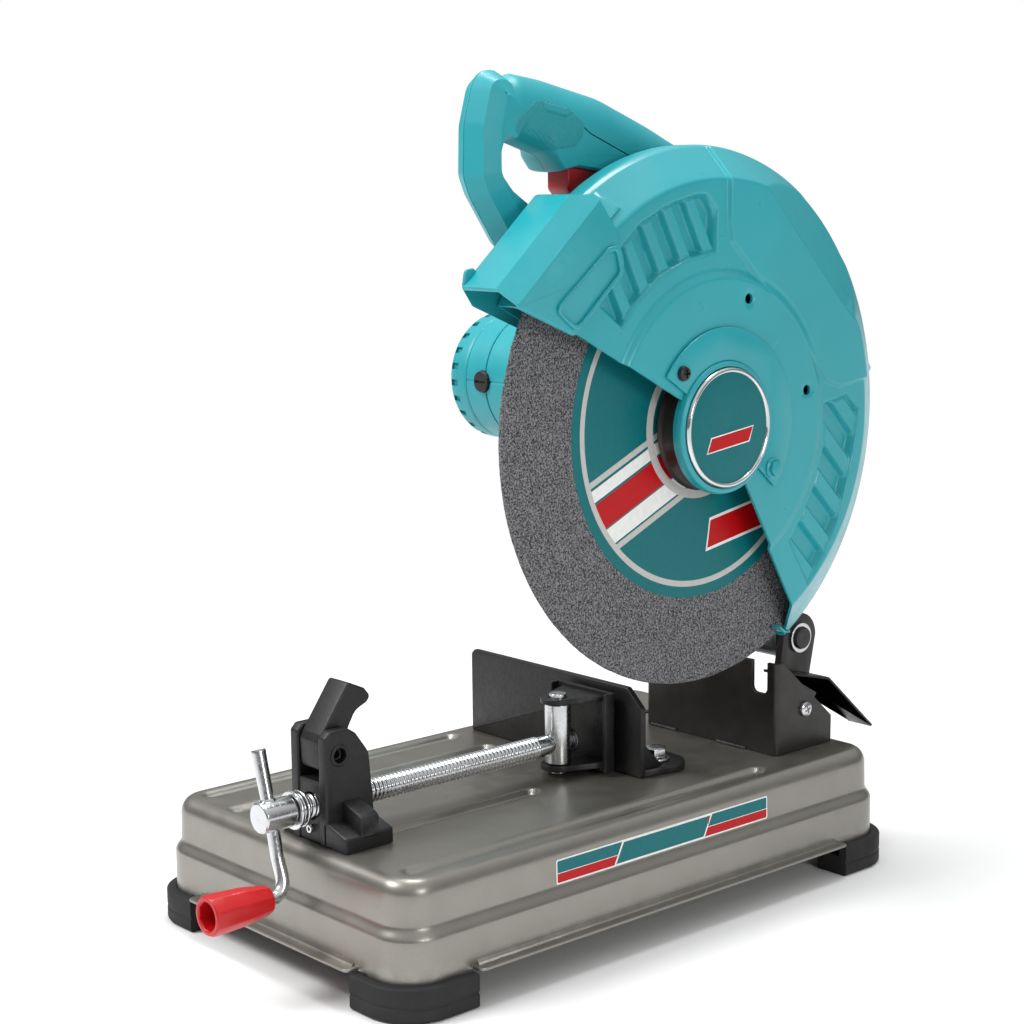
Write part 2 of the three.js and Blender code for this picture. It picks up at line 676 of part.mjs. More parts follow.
function brushCap(side) {
  const reach = [MOTOR.y + side * 40, MOTOR.y + side * 50.5].sort((a, b) => a - b);
  return rod('y', 8, ...reach, BRUSH_X, MOTOR.z);
}

function brush(side) {
  const reach = [MOTOR.y + side * 13.5, MOTOR.y + side * 36].sort((a, b) => a - b);
  return box(BRUSH_X - 4, BRUSH_X + 4, ...reach, MOTOR.z - 3, MOTOR.z + 3);
}

part('gear_case', gearCase(), CAST_ALUMINIUM);
part('head_arm', headArm(), CAST_ALUMINIUM);
part('spindle_bearing_outer', ring('x', 7.8, 16, 50.5, 61.5, WHEEL.y, WHEEL.z), STEEL);
part('armature_bearing_front', ring('x', 5.3, 14, 2, 12, MOTOR.y, MOTOR.z), STEEL);
part('armature_bearing_rear', ring('x', 5.3, 11, -160, -148, MOTOR.y, MOTOR.z), STEEL);
part('armature', armature(), COPPER);
part('stator', ring('x', 27, 44, -104, -38, MOTOR.y, MOTOR.z, 36), STEEL);
part('carbon_brush_front', brush(-1), BLACK_PLASTIC);
part('carbon_brush_rear', brush(1), BLACK_PLASTIC);
part('brush_cap_front', brushCap(-1), BLACK_PLASTIC);
part('brush_cap_rear', brushCap(1), BLACK_PLASTIC);
part('motor_housing', motorHousing(), TEAL_PLASTIC);
part('motor_end_cap', motorEndCap(), TEAL_PLASTIC);
part('spindle_lock_button', rod('y', 6, 10, 27, 22, WHEEL.z), BLACK_PLASTIC);

// ---------------------------------------------------------------- guard

// Point at a radius and an angle in degrees, measured from -Y upward round the spindle.
function polar(radius, degrees) {
  const angle = THREE.MathUtils.degToRad(degrees);
  return [WHEEL.y - radius * Math.cos(angle), WHEEL.z + radius * Math.sin(angle)];
}

// Sector round the spindle between two radii, anticlockwise in (y, z).
function sector(outer, inner, from, to, steps = 30) {
  const points = [];
  for (let i = 0; i <= steps; i++) {
    points.push(polar(outer, to + ((from - to) * i) / steps));
  }
  for (let i = 0; i <= steps / 2; i++) {
    points.push(polar(inner, from + ((to - from) * i) / (steps / 2)));
  }
  return points;
}

function wheelGuard() {
  const [left, right] = GUARD_X;
  const t = GUARD_SHEET;
  const skin = (rim, hub, grow) => sector(rim, hub, GUARD_FRONT - grow, GUARD_REAR + grow);
  const shell = loft('x', [
    [left, skin(GUARD_R, HUB_R, 0)],
    [left + RIM_FLAT, skin(GUARD_R, HUB_R, 0)],
    [right, skin(GUARD_R - GUARD_TAPER, HUB_R, 0)],
  ]);
  const hollow = loft('x', [
    [left + t, skin(GUARD_R - t, HUB_R - 5, 8)],
    [left + RIM_FLAT, skin(GUARD_R - t, HUB_R - 5, 8)],
    [right - t, skin(GUARD_R - GUARD_TAPER, HUB_R - 5, 8)],
  ]);
  return cut(shell, hollow, ...coverScrewHoles(right - 5, right + 2));
}

function coverScrewHoles(from, to) {
  return COVER_SCREWS.map((a) => rod('x', 2.7, from, to, ...polar(COVER_SCREW_R, a), 12));
}

function guardNose() {
  const skin = 1.7;
  const side = [[-40, 482], [-52, 482], [-114, 425], [-104, 413], [-58, 393.5], [-13, 437], [-20, 458]];
  const inner = [
    [-30, 480], [-51.3, 480], [-112.5, 423.5], [-130, 400], [-60, 360], [40, 430], [20, 480],
  ];
  return cut(
    prism('x', outline(side), GUARD_X[0] - 2, GUARD_X[1] + 2),
    prism('x', outline(inner), GUARD_X[0] - 2 + skin, GUARD_X[1] + 2 - skin)
  );
}

function centreCover() {
  const plate = prism('x', outline(sector(67, 38, 34, 222)), ...COVER_X);
  const holes = coverScrewHoles(COVER_X[0] - 1, COVER_X[1] + 1);
  const well = cut(
    rod('x', 43, 97, COVER_X[1], WHEEL.y, WHEEL.z, 32),
    rod('x', 40, 96, COVER_X[0] - 0.5, WHEEL.y, WHEEL.z, 32)
  );
  return cut(join(plate, well), ...holes);
}

function coverScrew(degrees, head) {
  const at = polar(COVER_SCREW_R, degrees);
  return join(rod('x', 2.3, 97, 107, ...at, 12), prism('x', head(at), COVER_X[1] + REST, 109.5));
}

part('wheel_guard', wheelGuard(), TEAL_PAINT);
part('guard_nose', guardNose(), TEAL_PAINT);
part('centre_cover', centreCover(), TEAL_PAINT);
part('hub_cap', join(
  ring('x', 37, 40.3, COVER_X[1] + REST, 110, WHEEL.y, WHEEL.z, 32),
  rod('x', 38, COVER_X[1] + REST, 108.5, WHEEL.y, WHEEL.z, 32)
), TEAL_LABEL);
const roundHead = (at) => outline(arc(5, ...at, 0, 330, 11));
const hexHead = (at) => hexagon(6.5, ...at);
part('cover_screw_front', coverScrew(COVER_SCREWS[0], roundHead), STEEL);
part('cover_screw_rear', coverScrew(COVER_SCREWS[1], hexHead), TEAL_PAINT);

// ---------------------------------------------------------------- handle

function handleHalf(from, to) {
  const shape = outline([
    [-66, 560], [-76, 557], [-83, 525], [-84, 492], [-78, 478], [-56, 446], [5, 394.5],
    [140, 394.5], [140, 480], [118, 503], [78, 524], [28, 543], [-20, 553], [-50, 556],
  ]);
  shape.holes.push(outline([
    [-62, 518], [-22, 505.5], [-13, 494.5], [0, 497], [34, 493], [60, 486], [75, 468],
    [66, 448], [15, 444], [-23, 462], [-57, 484], [-66, 494], [-66, 508],
  ]));
  return cut(
    prism('x', shape, from, to),
    box(HANDLE_X - 11, HANDLE_X + 13, -6, 38, 480, 530),
    rod('x', 6.2, 10, 20, 14, 516, 20)
  );
}

part('handle_left', handleHalf(HANDLE_X - HANDLE_HALF, HANDLE_X - REST / 2), TEAL_PLASTIC);
part('handle_right', handleHalf(HANDLE_X + REST / 2, HANDLE_X + HANDLE_HALF), TEAL_PLASTIC);
part('switch', box(HANDLE_X - 6, HANDLE_X + 12, -4, 36, 509, 528), BLACK_PLASTIC);
part('trigger', box(HANDLE_X - 10, HANDLE_X + 10, -3, 30, 477, 502), RED_PLASTIC);
part('lock_button', rod('x', 5.7, 8.5, 19.5, 14, 516, 20), BLACK_PLASTIC);
part('cord_guard', turned('y', [
  [0, 140.5], [9, 140.5], [8, 158], [6, 178], [0, 178],
], HANDLE_X, CABLE_Z, 20), BLACK_PLASTIC);
part('power_cable', wire([
  [HANDLE_X, 178.5, CABLE_Z], [HANDLE_X, 200, CABLE_Z - 3],
  [HANDLE_X, 222, CABLE_Z - 21], [HANDLE_X, 230, CABLE_Z - 55],
], 4, 14, 10), BLACK_PLASTIC);

saw.position.set(ORIGIN_SHIFT.x, ORIGIN_SHIFT.y, 0);

export default saw;
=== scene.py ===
"""Abrasive chop saw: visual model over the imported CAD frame.

Dimensions are in millimetres, from the floor under the base's middle.
"""

import math

import bmesh
import bpy
import numpy as np
from mathutils import Matrix, Vector
from mathutils.bvhtree import BVHTree
from mathutils.geometry import tessellate_polygon


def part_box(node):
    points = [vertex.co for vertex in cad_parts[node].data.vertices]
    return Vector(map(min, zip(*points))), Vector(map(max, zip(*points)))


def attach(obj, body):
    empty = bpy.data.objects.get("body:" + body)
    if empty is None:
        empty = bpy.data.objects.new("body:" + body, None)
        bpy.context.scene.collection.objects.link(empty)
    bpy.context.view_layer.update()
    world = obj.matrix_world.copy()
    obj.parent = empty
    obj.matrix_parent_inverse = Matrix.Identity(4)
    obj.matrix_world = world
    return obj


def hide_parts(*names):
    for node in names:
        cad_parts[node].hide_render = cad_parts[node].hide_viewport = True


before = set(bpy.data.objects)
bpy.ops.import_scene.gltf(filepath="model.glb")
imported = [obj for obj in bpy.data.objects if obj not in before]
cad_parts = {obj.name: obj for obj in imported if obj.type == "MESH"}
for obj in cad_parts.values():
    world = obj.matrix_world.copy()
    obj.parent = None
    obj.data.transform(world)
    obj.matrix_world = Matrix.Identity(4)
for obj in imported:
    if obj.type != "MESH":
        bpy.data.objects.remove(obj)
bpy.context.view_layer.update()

MM = 0.001
pan_lo, pan_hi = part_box("base_pan")
BASE_X, BASE_Y = (pan_lo.x + pan_hi.x) / 2, (pan_lo.y + pan_hi.y) / 2

# ------------------------------------------------------------------ dimensions

DECK = 84.0
WALL_X, WALL_Y, CORNER = 127.0, 218.5, 22.0
SKIRT, LIP, SHEET = 4.5, 9.0, 2.0
WHEEL_X, WHEEL_Y, WHEEL_Z, WHEEL_R, WHEEL_T = 79.0, 78.5, 326.0, 177.5, 3.2
PIVOT_Y, PIVOT_Z = 203.0, 157.0
MOTOR_Y, MOTOR_Z, MOTOR_R = 108.52, 342.79, 48.0
GUARD_L, GUARD_RIGHT, GUARD_R = 62.0, 103.0, 186.0
GUARD_FRONT, GUARD_REAR = 28.0, 240.0
VISE_X, VISE_Z = 20.0, 107.0
HANDLE_X = 30.0
GRIP_X, GRIP_Z, LEVER_Y, LEVER_Z, JAW_Y = 33, 60, -197, 141, 3.5
FENCE_Y, PIN_X, PIN_Y, LOCK_X, LOCK_Y = 36.5, 52, 66, -97, 57
BOLT_Y, BOLT_Z, STOP_X, STOP_Y = 175, 113.8, 27, 165
BRUSH_X, CORD_Z, LOCK_PIN_Y, LOCK_PIN_Z = -121, 425, 14, 516
FLOOR = DECK + 0.2
APRON = FLOOR + 5.2


def turn_points(axis, points):
    """Profile-frame points (u, v, along) to (x, y, z)."""
    p = np.asarray(points, float)
    u, v, w = p[:, 0], p[:, 1], p[:, 2]
    order = {"x": (w, u, v), "y": (u, w, v), "z": (u, v, w)}[axis]
    return np.stack(order, 1)


# ------------------------------------------------------------------ materials


class Nodes:
    """Small builder of node materials."""

    def __init__(self, name):
        self.material = bpy.data.materials.new(name)
        self.material.use_nodes = True
        self.tree = self.material.node_tree
        self.tree.nodes.clear()
        self.out = self.add("ShaderNodeOutputMaterial")
        self.bsdf = self.add("ShaderNodeBsdfPrincipled")
        self.link(self.bsdf.outputs[0], self.out.inputs[0])
        self.place = self.add("ShaderNodeTexCoord").outputs["Object"]

    def add(self, kind, **settings):
        node = self.tree.nodes.new(kind)
        for key, value in settings.items():
            setattr(node, key, value)
        return node

    def link(self, a, b):
        self.tree.links.new(a, b)

    def feed(self, socket, value):
        if isinstance(value, bpy.types.NodeSocket):
            self.link(value, socket)
        else:
            socket.default_value = value

    def noise(self, scale, detail=4.0, rough=0.5, stretch=None):
        node = self.add("ShaderNodeTexNoise")
        node.inputs["Scale"].default_value = scale
        node.inputs["Detail"].default_value = detail
        node.inputs["Roughness"].default_value = rough
        source = self.place
        if stretch:
            mapping = self.add("ShaderNodeMapping")
            mapping.inputs["Scale"].default_value = stretch
            self.link(source, mapping.inputs["Vector"])
            source = mapping.outputs[0]
        self.link(source, node.inputs["Vector"])
        return node.outputs["Fac"]

    def voronoi(self, scale):
        node = self.add("ShaderNodeTexVoronoi")
        node.inputs["Scale"].default_value = scale
        self.link(self.place, node.inputs["Vector"])
        return node.outputs["Distance"]

    def remap(self, value, a, b, c, d):
        node = self.add("ShaderNodeMapRange")
        self.link(value, node.inputs["Value"])
        for key, number in zip(("From Min", "From Max", "To Min", "To Max"), (a, b, c, d)):
            node.inputs[key].default_value = number
        return node.outputs[0]

    def math(self, operation, a, b=0.0):
        node = self.add("ShaderNodeMath", operation=operation)
        self.feed(node.inputs[0], a)
        self.feed(node.inputs[1], b)
        return node.outputs[0]

    def mix(self, factor, a, b):
        node = self.add("ShaderNodeMix", data_type="RGBA")
        self.feed(node.inputs["Factor"], factor)
        self.feed(node.inputs[6], a)
        self.feed(node.inputs[7], b)
        return node.outputs[2]

    def bump(self, height, strength, distance):
        node = self.add("ShaderNodeBump")
        node.inputs["Strength"].default_value = strength
        node.inputs["Distance"].default_value = distance
        self.link(height, node.inputs["Height"])
        return node.outputs[0]

    def set(self, **values):
        for key, value in values.items():
            self.feed(self.bsdf.inputs[key.replace("_", " ")], value)


def colour(code, shade=1.0):
    """Hex sRGB to linear RGBA."""
    parts = [int(code[i : i + 2], 16) / 255 for i in (0, 2, 4)]
    linear = [p / 12.92 if p <= 0.04045 else ((p + 0.055) / 1.055) ** 2.4 for p in parts]
    return tuple(p * shade for p in linear) + (1.0,)


def edge_highlight(n, base, light, amount):
    """Base colour with paler edges as a painted highlight, by curvature broken up with noise."""
    point = n.add("ShaderNodeNewGeometry").outputs["Pointiness"]
    edge = n.remap(point, 0.53, 0.6, 0.0, amount)
    patch = n.remap(n.noise(90, 3), 0.4, 0.6, 0.0, 1.0)
    return n.mix(n.math("MULTIPLY", edge, patch), base, light)


def paint(name, code, rough, grain=900, bump=0.05, metal=0.0, coat=0.0, highlight_amount=0.25, pale="b8c4c4"):
    """Sprayed paint with slight clouding and paler edges as a painted highlight."""
    n = Nodes(name)
    cloud = n.remap(n.noise(7, 3), 0.35, 0.65, 0.0, 1.0)
    base = n.mix(cloud, colour(code, 0.94), colour(code, 1.06))
    n.set(Base_Color=edge_highlight(n, base, colour(pale), highlight_amount))
    n.set(Metallic=metal, Coat_Weight=coat, Coat_Roughness=0.25)
    n.set(Roughness=n.remap(n.noise(40, 5), 0.3, 0.7, rough - 0.06, rough + 0.07))
    n.set(Normal=n.bump(n.noise(grain, 3), bump, 0.0004))
    return n.material


def metallic_paint(name, code):
    """Satin silver-grey paint with fine flakes."""
    n = Nodes(name)
    flake = n.remap(n.noise(2600, 2), 0.35, 0.7, 0.0, 1.0)
    cloud = n.remap(n.noise(5, 3), 0.3, 0.7, 0.0, 0.5)
    base = n.mix(flake, colour(code, 0.88), colour(code, 1.14))
    base = n.mix(cloud, base, colour(code, 0.93))
    # paler edges in a highlight tone: painted highlight
    n.set(Base_Color=edge_highlight(n, base, colour("c9c6be"), 0.2))
    n.set(Metallic=0.8, Coat_Weight=0.1, Coat_Roughness=0.3)
    n.set(Roughness=n.remap(n.noise(60, 5), 0.3, 0.7, 0.29, 0.4))
    n.set(Normal=n.bump(n.noise(1400, 3), 0.05, 0.0003))
    return n.material


def casting(name, code, rough, grain=420, bump=0.22, metal=0.2):
    """Sand-cast surface under satin black paint."""
    n = Nodes(name)
    pits = n.noise(grain, 6, 0.65)
    base = n.mix(n.remap(n.noise(30, 4), 0.35, 0.7, 0.0, 1.0), colour(code, 0.8), colour(code, 1.25))
    # paler edges: painted highlight
    n.set(Base_Color=edge_highlight(n, base, colour("77757a"), 0.35))
    n.set(Metallic=metal, Roughness=n.remap(pits, 0.3, 0.7, rough - 0.08, rough + 0.12))
    n.set(Normal=n.bump(pits, bump, 0.0006))
    return n.material


def plated(name, code, rough, streak=(1, 1, 1)):
    """Bright plated or machined metal with fine drawing marks."""
    n = Nodes(name)
    lines = n.noise(500, 4, 0.6, stretch=streak)
    cloud = n.remap(n.noise(25, 4), 0.35, 0.65, 0.0, 1.0)
    n.set(Base_Color=n.mix(cloud, colour(code, 0.86), colour(code, 1.0)))
    n.set(Metallic=1.0, Roughness=n.remap(lines, 0.3, 0.7, rough - 0.06, rough + 0.1))
    n.set(Normal=n.bump(lines, 0.03, 0.0003))
    return n.material


def moulded(name, code, rough, grain=1500, bump=0.12, coat=0.0):
    """Moulded plastic with a fine spark-eroded texture."""
    n = Nodes(name)
    grit = n.noise(grain, 4, 0.6)
    cloud = n.remap(n.noise(6, 3), 0.35, 0.65, 0.0, 1.0)
    base = n.mix(cloud, colour(code, 0.93), colour(code, 1.05))
    # edges in a paler copy of the plastic's own colour: painted highlight
    n.set(Base_Color=edge_highlight(n, base, colour(code, 1.5), 0.2))
    n.set(Roughness=n.remap(n.noise(70, 4), 0.3, 0.7, rough - 0.05, rough + 0.07), Coat_Weight=coat)
    n.set(Normal=n.bump(grit, bump, 0.0003))
    return n.material


def abrasive(name):
    """Resin-bonded grit: speckled dark grey with rough grains."""
    n = Nodes(name)
    grain = n.noise(780, 6, 0.8)
    coarse = n.voronoi(420)
    speck = n.remap(grain, 0.44, 0.58, 0.0, 1.0)
    base = n.mix(speck, colour("262627"), colour("8c8c8f"))
    sparkle = n.remap(n.noise(1500, 2), 0.64, 0.7, 0.0, 0.8)
    base = n.mix(sparkle, base, colour("c9c9cc"))
    n.set(Base_Color=base, Roughness=0.9, Specular_IOR_Level=0.25)
    n.set(Normal=n.bump(n.math("ADD", grain, coarse), 0.7, 0.0006))
    return n.material


def printed(name, code):
    """Printed label paper or film."""
    n = Nodes(name)
    fibre = n.noise(300, 5)
    n.set(Base_Color=n.mix(n.remap(fibre, 0.3, 0.7, 0, 1), colour(code, 0.94), colour(code, 1.04)))
    n.set(Roughness=n.remap(fibre, 0.3, 0.7, 0.33, 0.44), Specular_IOR_Level=0.25)
    n.set(Normal=n.bump(n.noise(800, 3), 0.04, 0.0002))
    return n.material


TEAL = "1d99a3"
# In the paints, pale is the colour of the painted highlight on the edges.
M = {
    "guard_paint": paint(
        "guard_paint", TEAL, 0.33, grain=700, bump=0.05, coat=0.25, highlight_amount=0.1, pale="6fd6dc",
    ),
    "teal_plastic": moulded("teal_plastic", TEAL, 0.42, grain=1600, bump=0.12),
    "grip_plastic": moulded("grip_plastic", "198d96", 0.5, grain=1500, bump=0.18),
    "base_paint": metallic_paint("base_paint", "908d86"),
    "black_paint": paint(
        "black_paint", "1d1a18", 0.36, grain=800, bump=0.12, metal=0.1, highlight_amount=0.2, pale="5d5a58",
    ),
    "black_casting": casting("black_casting", "1b1a1b", 0.42),
    "zinc": plated("zinc", "d4d6d8", 0.2, streak=(0.2, 1, 1)),
    "steel": plated("steel", "9a9a9a", 0.32),
    "chrome": plated("chrome", "dcdee0", 0.14),
    "aluminium": casting("aluminium", "8f9090", 0.45, grain=350, bump=0.2, metal=0.9),
    "copper": plated("copper", "a8623a", 0.4),
    "abrasive": abrasive("abrasive"),
    "rubber": moulded("rubber", "1b1b1b", 0.72, grain=600, bump=0.25),
    "black_plastic": moulded("black_plastic", "161617", 0.5),
    "red_plastic": moulded("red_plastic", "b8040c", 0.36, grain=1200, bump=0.08, coat=0.1),
    "label_teal": printed("label_teal", "086a6f"),
    "label_white": printed("label_white", "e9e9e6"),
    "label_grey": printed("label_grey", "bdbcb8"),
    "label_red": printed("label_red", "b6060d"),
    "inner_brown": moulded("inner_brown", "1c100c", 0.38, grain=500, bump=0.1),
}


# ------------------------------------------------------------------ mesh helpers


def placed(name, verts, faces, weld):
    """Scene object from millimetre points, with doubled points welded."""
    v = np.asarray(verts, float) * MM + np.array([BASE_X, BASE_Y, 0.0])
    mesh = bpy.data.meshes.new(name)
    mesh.from_pydata(v.tolist(), [], [list(map(int, f)) for f in faces])
    work = bmesh.new()
    work.from_mesh(mesh)
    bmesh.ops.remove_doubles(work, verts=work.verts, dist=weld)
    bmesh.ops.recalc_face_normals(work, faces=work.faces)
    work.to_mesh(mesh)
    work.free()
    obj = bpy.data.objects.new(name, mesh)
    bpy.context.scene.collection.objects.link(obj)
    return obj


def shade(mesh, sharp):
    """Smooth shading, split at the edges sharper than an angle."""
    mesh.polygons.foreach_set("use_smooth", [True] * len(mesh.polygons))
    mesh.set_sharp_from_angle(angle=math.radians(sharp))


def soften(obj, width, angle, segments=3):
    """Bevel on the edges sharper than an angle."""
    mod = obj.modifiers.new("edge", "BEVEL")
    mod.width, mod.segments = width * MM, segments
    mod.limit_method, mod.angle_limit = "ANGLE", math.radians(angle)
    mod.harden_normals = True
    return mod


def thicken(obj, wall):
    """Wall on the inner side of an open skin."""
    mod = obj.modifiers.new("sheet", "SOLIDIFY")
    mod.thickness, mod.offset = wall * MM, -1


def apply_modifiers(obj):
    """Turns the modifiers into plain mesh."""
    bpy.context.view_layer.update()
    graph = bpy.context.evaluated_depsgraph_get()
    obj.data = bpy.data.meshes.new_from_object(obj.evaluated_get(graph))
    obj.modifiers.clear()


def piece(name, verts, faces, body, material, replaces=None, sharp=32.0, bevel=None):
    """Visible object that rides on a body, in place of the CAD node that replaces names."""
    obj = placed(name, verts, faces, 2e-6)
    shade(obj.data, sharp)
    obj.data.materials.append(M[material])
    if bevel:
        soften(obj, bevel, 28).miter_outer = "MITER_ARC"
    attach(obj, body)
    if replaces:
        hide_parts(replaces)
    return obj


def slab(name, body, material, axis, outline, start, end, radius, replaces=None, **form):
    """Piece made of one soft_prism."""
    return piece(name, *soft_prism(axis, outline, start, end, radius, **form), body, material, replaces)


def lathe(name, body, material, axis, profile, radius, u, v, sides=96, replaces=None):
    """Turned piece with rounded corners."""
    return piece(
        name, *turned(axis, rounded_profile(profile, radius), u, v, sides), body, material, replaces,
    )


def merge(*parts):
    """Several (verts, faces) into one."""
    verts, faces, base = [], [], 0
    for v, f in parts:
        verts.extend(np.asarray(v, float).tolist())
        faces.extend([[i + base for i in face] for face in f])
        base += len(v)
    return verts, faces


def grid(points, wrap_u=False, wrap_v=False):
    """Quads over points[u][v]."""
    p = np.asarray(points, float)
    nu, nv = p.shape[:2]
    faces = []
    for i in range(nu if wrap_u else nu - 1):
        for j in range(nv if wrap_v else nv - 1):
            a, b = i * nv + j, ((i + 1) % nu) * nv + j
            c, d = ((i + 1) % nu) * nv + (j + 1) % nv, i * nv + (j + 1) % nv
            faces.append([a, b, c, d])
    return p.reshape(-1, 3), faces


def turned(axis, profile, u, v, sides=96):
    """Turned body from [radius, distance] points."""
    rings = []
    for i in range(sides):
        a = 2 * math.pi * i / sides
        rings.append([(u + r * math.cos(a), v + r * math.sin(a), d) for r, d in profile])
    flat = turn_points(axis, [q for ring in rings for q in ring])
    return grid(flat.reshape(sides, len(profile), 3), wrap_u=True, wrap_v=True)


def bend(p, before, after, cut, steps):
    """Curve that takes off a corner, starting and ending at a distance from it."""
    a, b = (p + (q - p) / np.linalg.norm(q - p) * cut for q in (before, after))
    shares = [k / steps for k in range(steps + 1)]
    return [tuple((1 - t) ** 2 * a + 2 * t * (1 - t) * p + t * t * b) for t in shares]


def rounded_profile(profile, radius, steps=4):
    """Rounds the corners of a closed [r, d] profile."""
    points = np.array(profile, float)
    result = []
    for i, p in enumerate(points):
        before, after = points[i - 1], points[(i + 1) % len(points)]
        cut = min(radius, *(np.linalg.norm(q - p) * 0.45 for q in (before, after)))
        result += bend(p, before, after, cut, steps)
    return result


def fillet(points, radius, steps=5):
    """Closed outline with rounded corners; radius is a number or one for each corner."""
    corners = np.array(points, float)
    radii = np.broadcast_to(radius, len(corners))
    result = []
    for i, (p, r) in enumerate(zip(corners, radii)):
        before, after = corners[i - 1], corners[(i + 1) % len(corners)]
        l1, l2 = np.linalg.norm(before - p), np.linalg.norm(after - p)
        if r <= 0 or l1 < 1e-6 or l2 < 1e-6:
            result.append(tuple(p))
            continue
        angle = math.acos(max(-1, min(1, float((before - p) @ (after - p)) / (l1 * l2))))
        cut = min(r / max(math.tan(angle / 2), 1e-3), l1 * 0.48, l2 * 0.48)
        result += bend(p, before, after, cut, steps)
    return result


def stacked(verts, spans, levels):
    """Faces of a stack of levels with the same closed loops: the walls and the two end caps."""
    total = sum(spans)
    faces = []
    for k in range(levels - 1):
        base = k * total
        for n in spans:
            for i in range(n):
                a, b = base + i, base + (i + 1) % n
                faces.append([a, b, b + total, a + total])
            base += n
    for first in (0, (levels - 1) * total):
        if len(spans) == 1:
            faces.append(list(range(first, first + total)))
            continue
        rings, at = [], first
        for n in spans:
            rings.append([Vector((u, v, 0)) for u, v, _ in verts[at : at + n]])
            at += n
        faces += [[i + first for i in t] for t in tessellate_polygon(rings)]
    return faces


def prism(axis, shape, start, end):
    """Straight body between two planes from an outline."""
    verts = [(u, v, w) for w in (start, end) for u, v in shape]
    return turn_points(axis, verts), stacked(verts, [len(shape)], 2)


def box(x0, x1, y0, y1, z0, z1):
    """Rectangular block."""
    return prism("z", [(x0, y0), (x1, y0), (x1, y1), (x0, y1)], z0, z1)


def circle(radius, u, v, steps=48, start=0.0, sweep=360.0):
    """Points of a circle, or of an arc with both of its ends."""
    count = steps if sweep == 360 else steps + 1
    angles = [math.radians(start) + i * math.radians(sweep) / steps for i in range(count)]
    return [(u + radius * math.cos(a), v + radius * math.sin(a)) for a in angles]


def hexagon(radius, u, v, turn=0.0):
    """Hexagon by the distance to its corners."""
    return circle(radius, u, v, 6, turn)


def smooth_path(points, per=10):
    """Catmull-Rom curve through points."""
    p = [np.array(q, float) for q in points]
    p = [2 * p[0] - p[1]] + p + [2 * p[-1] - p[-2]]
    path = []
    for a, b, c, d in zip(p, p[1:], p[2:], p[3:]):
        first, second, third = c - a, 2 * a - 5 * b + 4 * c - d, 3 * b - a - 3 * c + d
        for t in (k / per for k in range(per)):
            path.append(0.5 * (2 * b + first * t + second * t * t + third * t**3))
    path.append(p[-2])
    return np.array(path)


def swept(path, radius, sides=28, round_end=0.6):
    """Round bar along a path with softened ends; radius is a number or one per point."""
    path = np.asarray(path, float)
    radii = np.broadcast_to(radius, len(path))
    last = len(path) - 1
    tangent = np.gradient(path, axis=0)
    tangent /= np.linalg.norm(tangent, axis=1)[:, None]
    turns = np.linspace(0, 2 * math.pi, sides, endpoint=False)[:, None]
    side = np.cross(tangent[0], [0.3, 0.2, 1.0])
    loops = []
    for i, (centre, along, r) in enumerate(zip(path, tangent, radii)):
        side = side - (side @ along) * along
        side /= np.linalg.norm(side)
        ring = np.cos(turns) * side + np.sin(turns) * np.cross(along, side)
        stations = [(0.0, r)]
        if i in (0, last):
            lip = [
                (0.0, 0.01 - r), (0.0, -round_end), (0.3 * round_end, -0.3 * round_end), (round_end, 0.0),
            ]
            stations = [(d, r + less) for d, less in lip]
        if i == last:
            stations = [(-d, q) for d, q in reversed(stations)]
        loops += [centre + d * along + q * ring for d, q in stations]
    return grid(np.array(loops), wrap_v=True)


def cutter(name, geometry):
    """Throwaway solid for a boolean cut."""
    return placed(name, *geometry, 1e-6)


def boolean(obj, tools, sharp=32.0, solver="EXACT"):
    """Cuts the tools out of the object and removes them."""
    for tool in tools:
        mod = obj.modifiers.new("cut", "BOOLEAN")
        mod.operation = "DIFFERENCE"
        mod.solver = solver
        mod.object = tool
    apply_modifiers(obj)
    shade(obj.data, sharp)
    for tool in tools:
        bpy.data.objects.remove(tool)


def smoothstep(x, a, b):
    """0 below a, 1 above b, with an S-curve between."""
    t = np.clip((x - a) / (b - a), 0, 1)
    return t * t * (3 - 2 * t)


def inside_distance(points, u, v):
    """Signed distance to a closed polygon, positive inside."""
    poly = np.asarray(points, float)
    inside = np.zeros(u.shape, bool)
    best = np.full(u.shape, 1e9)
    for i in range(len(poly)):
        a, b = poly[i - 1], poly[i]
        d = b - a
        t = np.clip(((u - a[0]) * d[0] + (v - a[1]) * d[1]) / max(d @ d, 1e-9), 0, 1)
        best = np.minimum(best, np.hypot(u - a[0] - t * d[0], v - a[1] - t * d[1]))
        crosses = (a[1] > v) != (b[1] > v)
        with np.errstate(divide="ignore", invalid="ignore"):
            at = a[0] + (v - a[1]) * d[0] / (d[1] if abs(d[1]) > 1e-9 else 1e-9)
        inside ^= crosses & (u < at)
    return np.where(inside, best, -best)


def inset(outline, distance):
    """Outline moved inward by a distance, corner by corner."""
    p = np.asarray(outline, float)
    after, before = np.roll(p, -1, 0) - p, p - np.roll(p, 1, 0)
    area = 0.5 * np.sum(p[:, 0] * np.roll(p[:, 1], -1) - p[:, 1] * np.roll(p[:, 0], -1))
    side = 1.0 if area > 0 else -1.0
    n1 = np.stack([-before[:, 1], before[:, 0]], 1) * side
    n2 = np.stack([-after[:, 1], after[:, 0]], 1) * side
    n1 /= np.maximum(np.linalg.norm(n1, axis=1), 1e-9)[:, None]
    n2 /= np.maximum(np.linalg.norm(n2, axis=1), 1e-9)[:, None]
    m = n1 + n2
    m /= np.maximum(np.linalg.norm(m, axis=1), 1e-9)[:, None]
    scale = 1.0 / np.maximum((m * n1).sum(1), 0.5)
    return p + m * (distance * scale)[:, None]


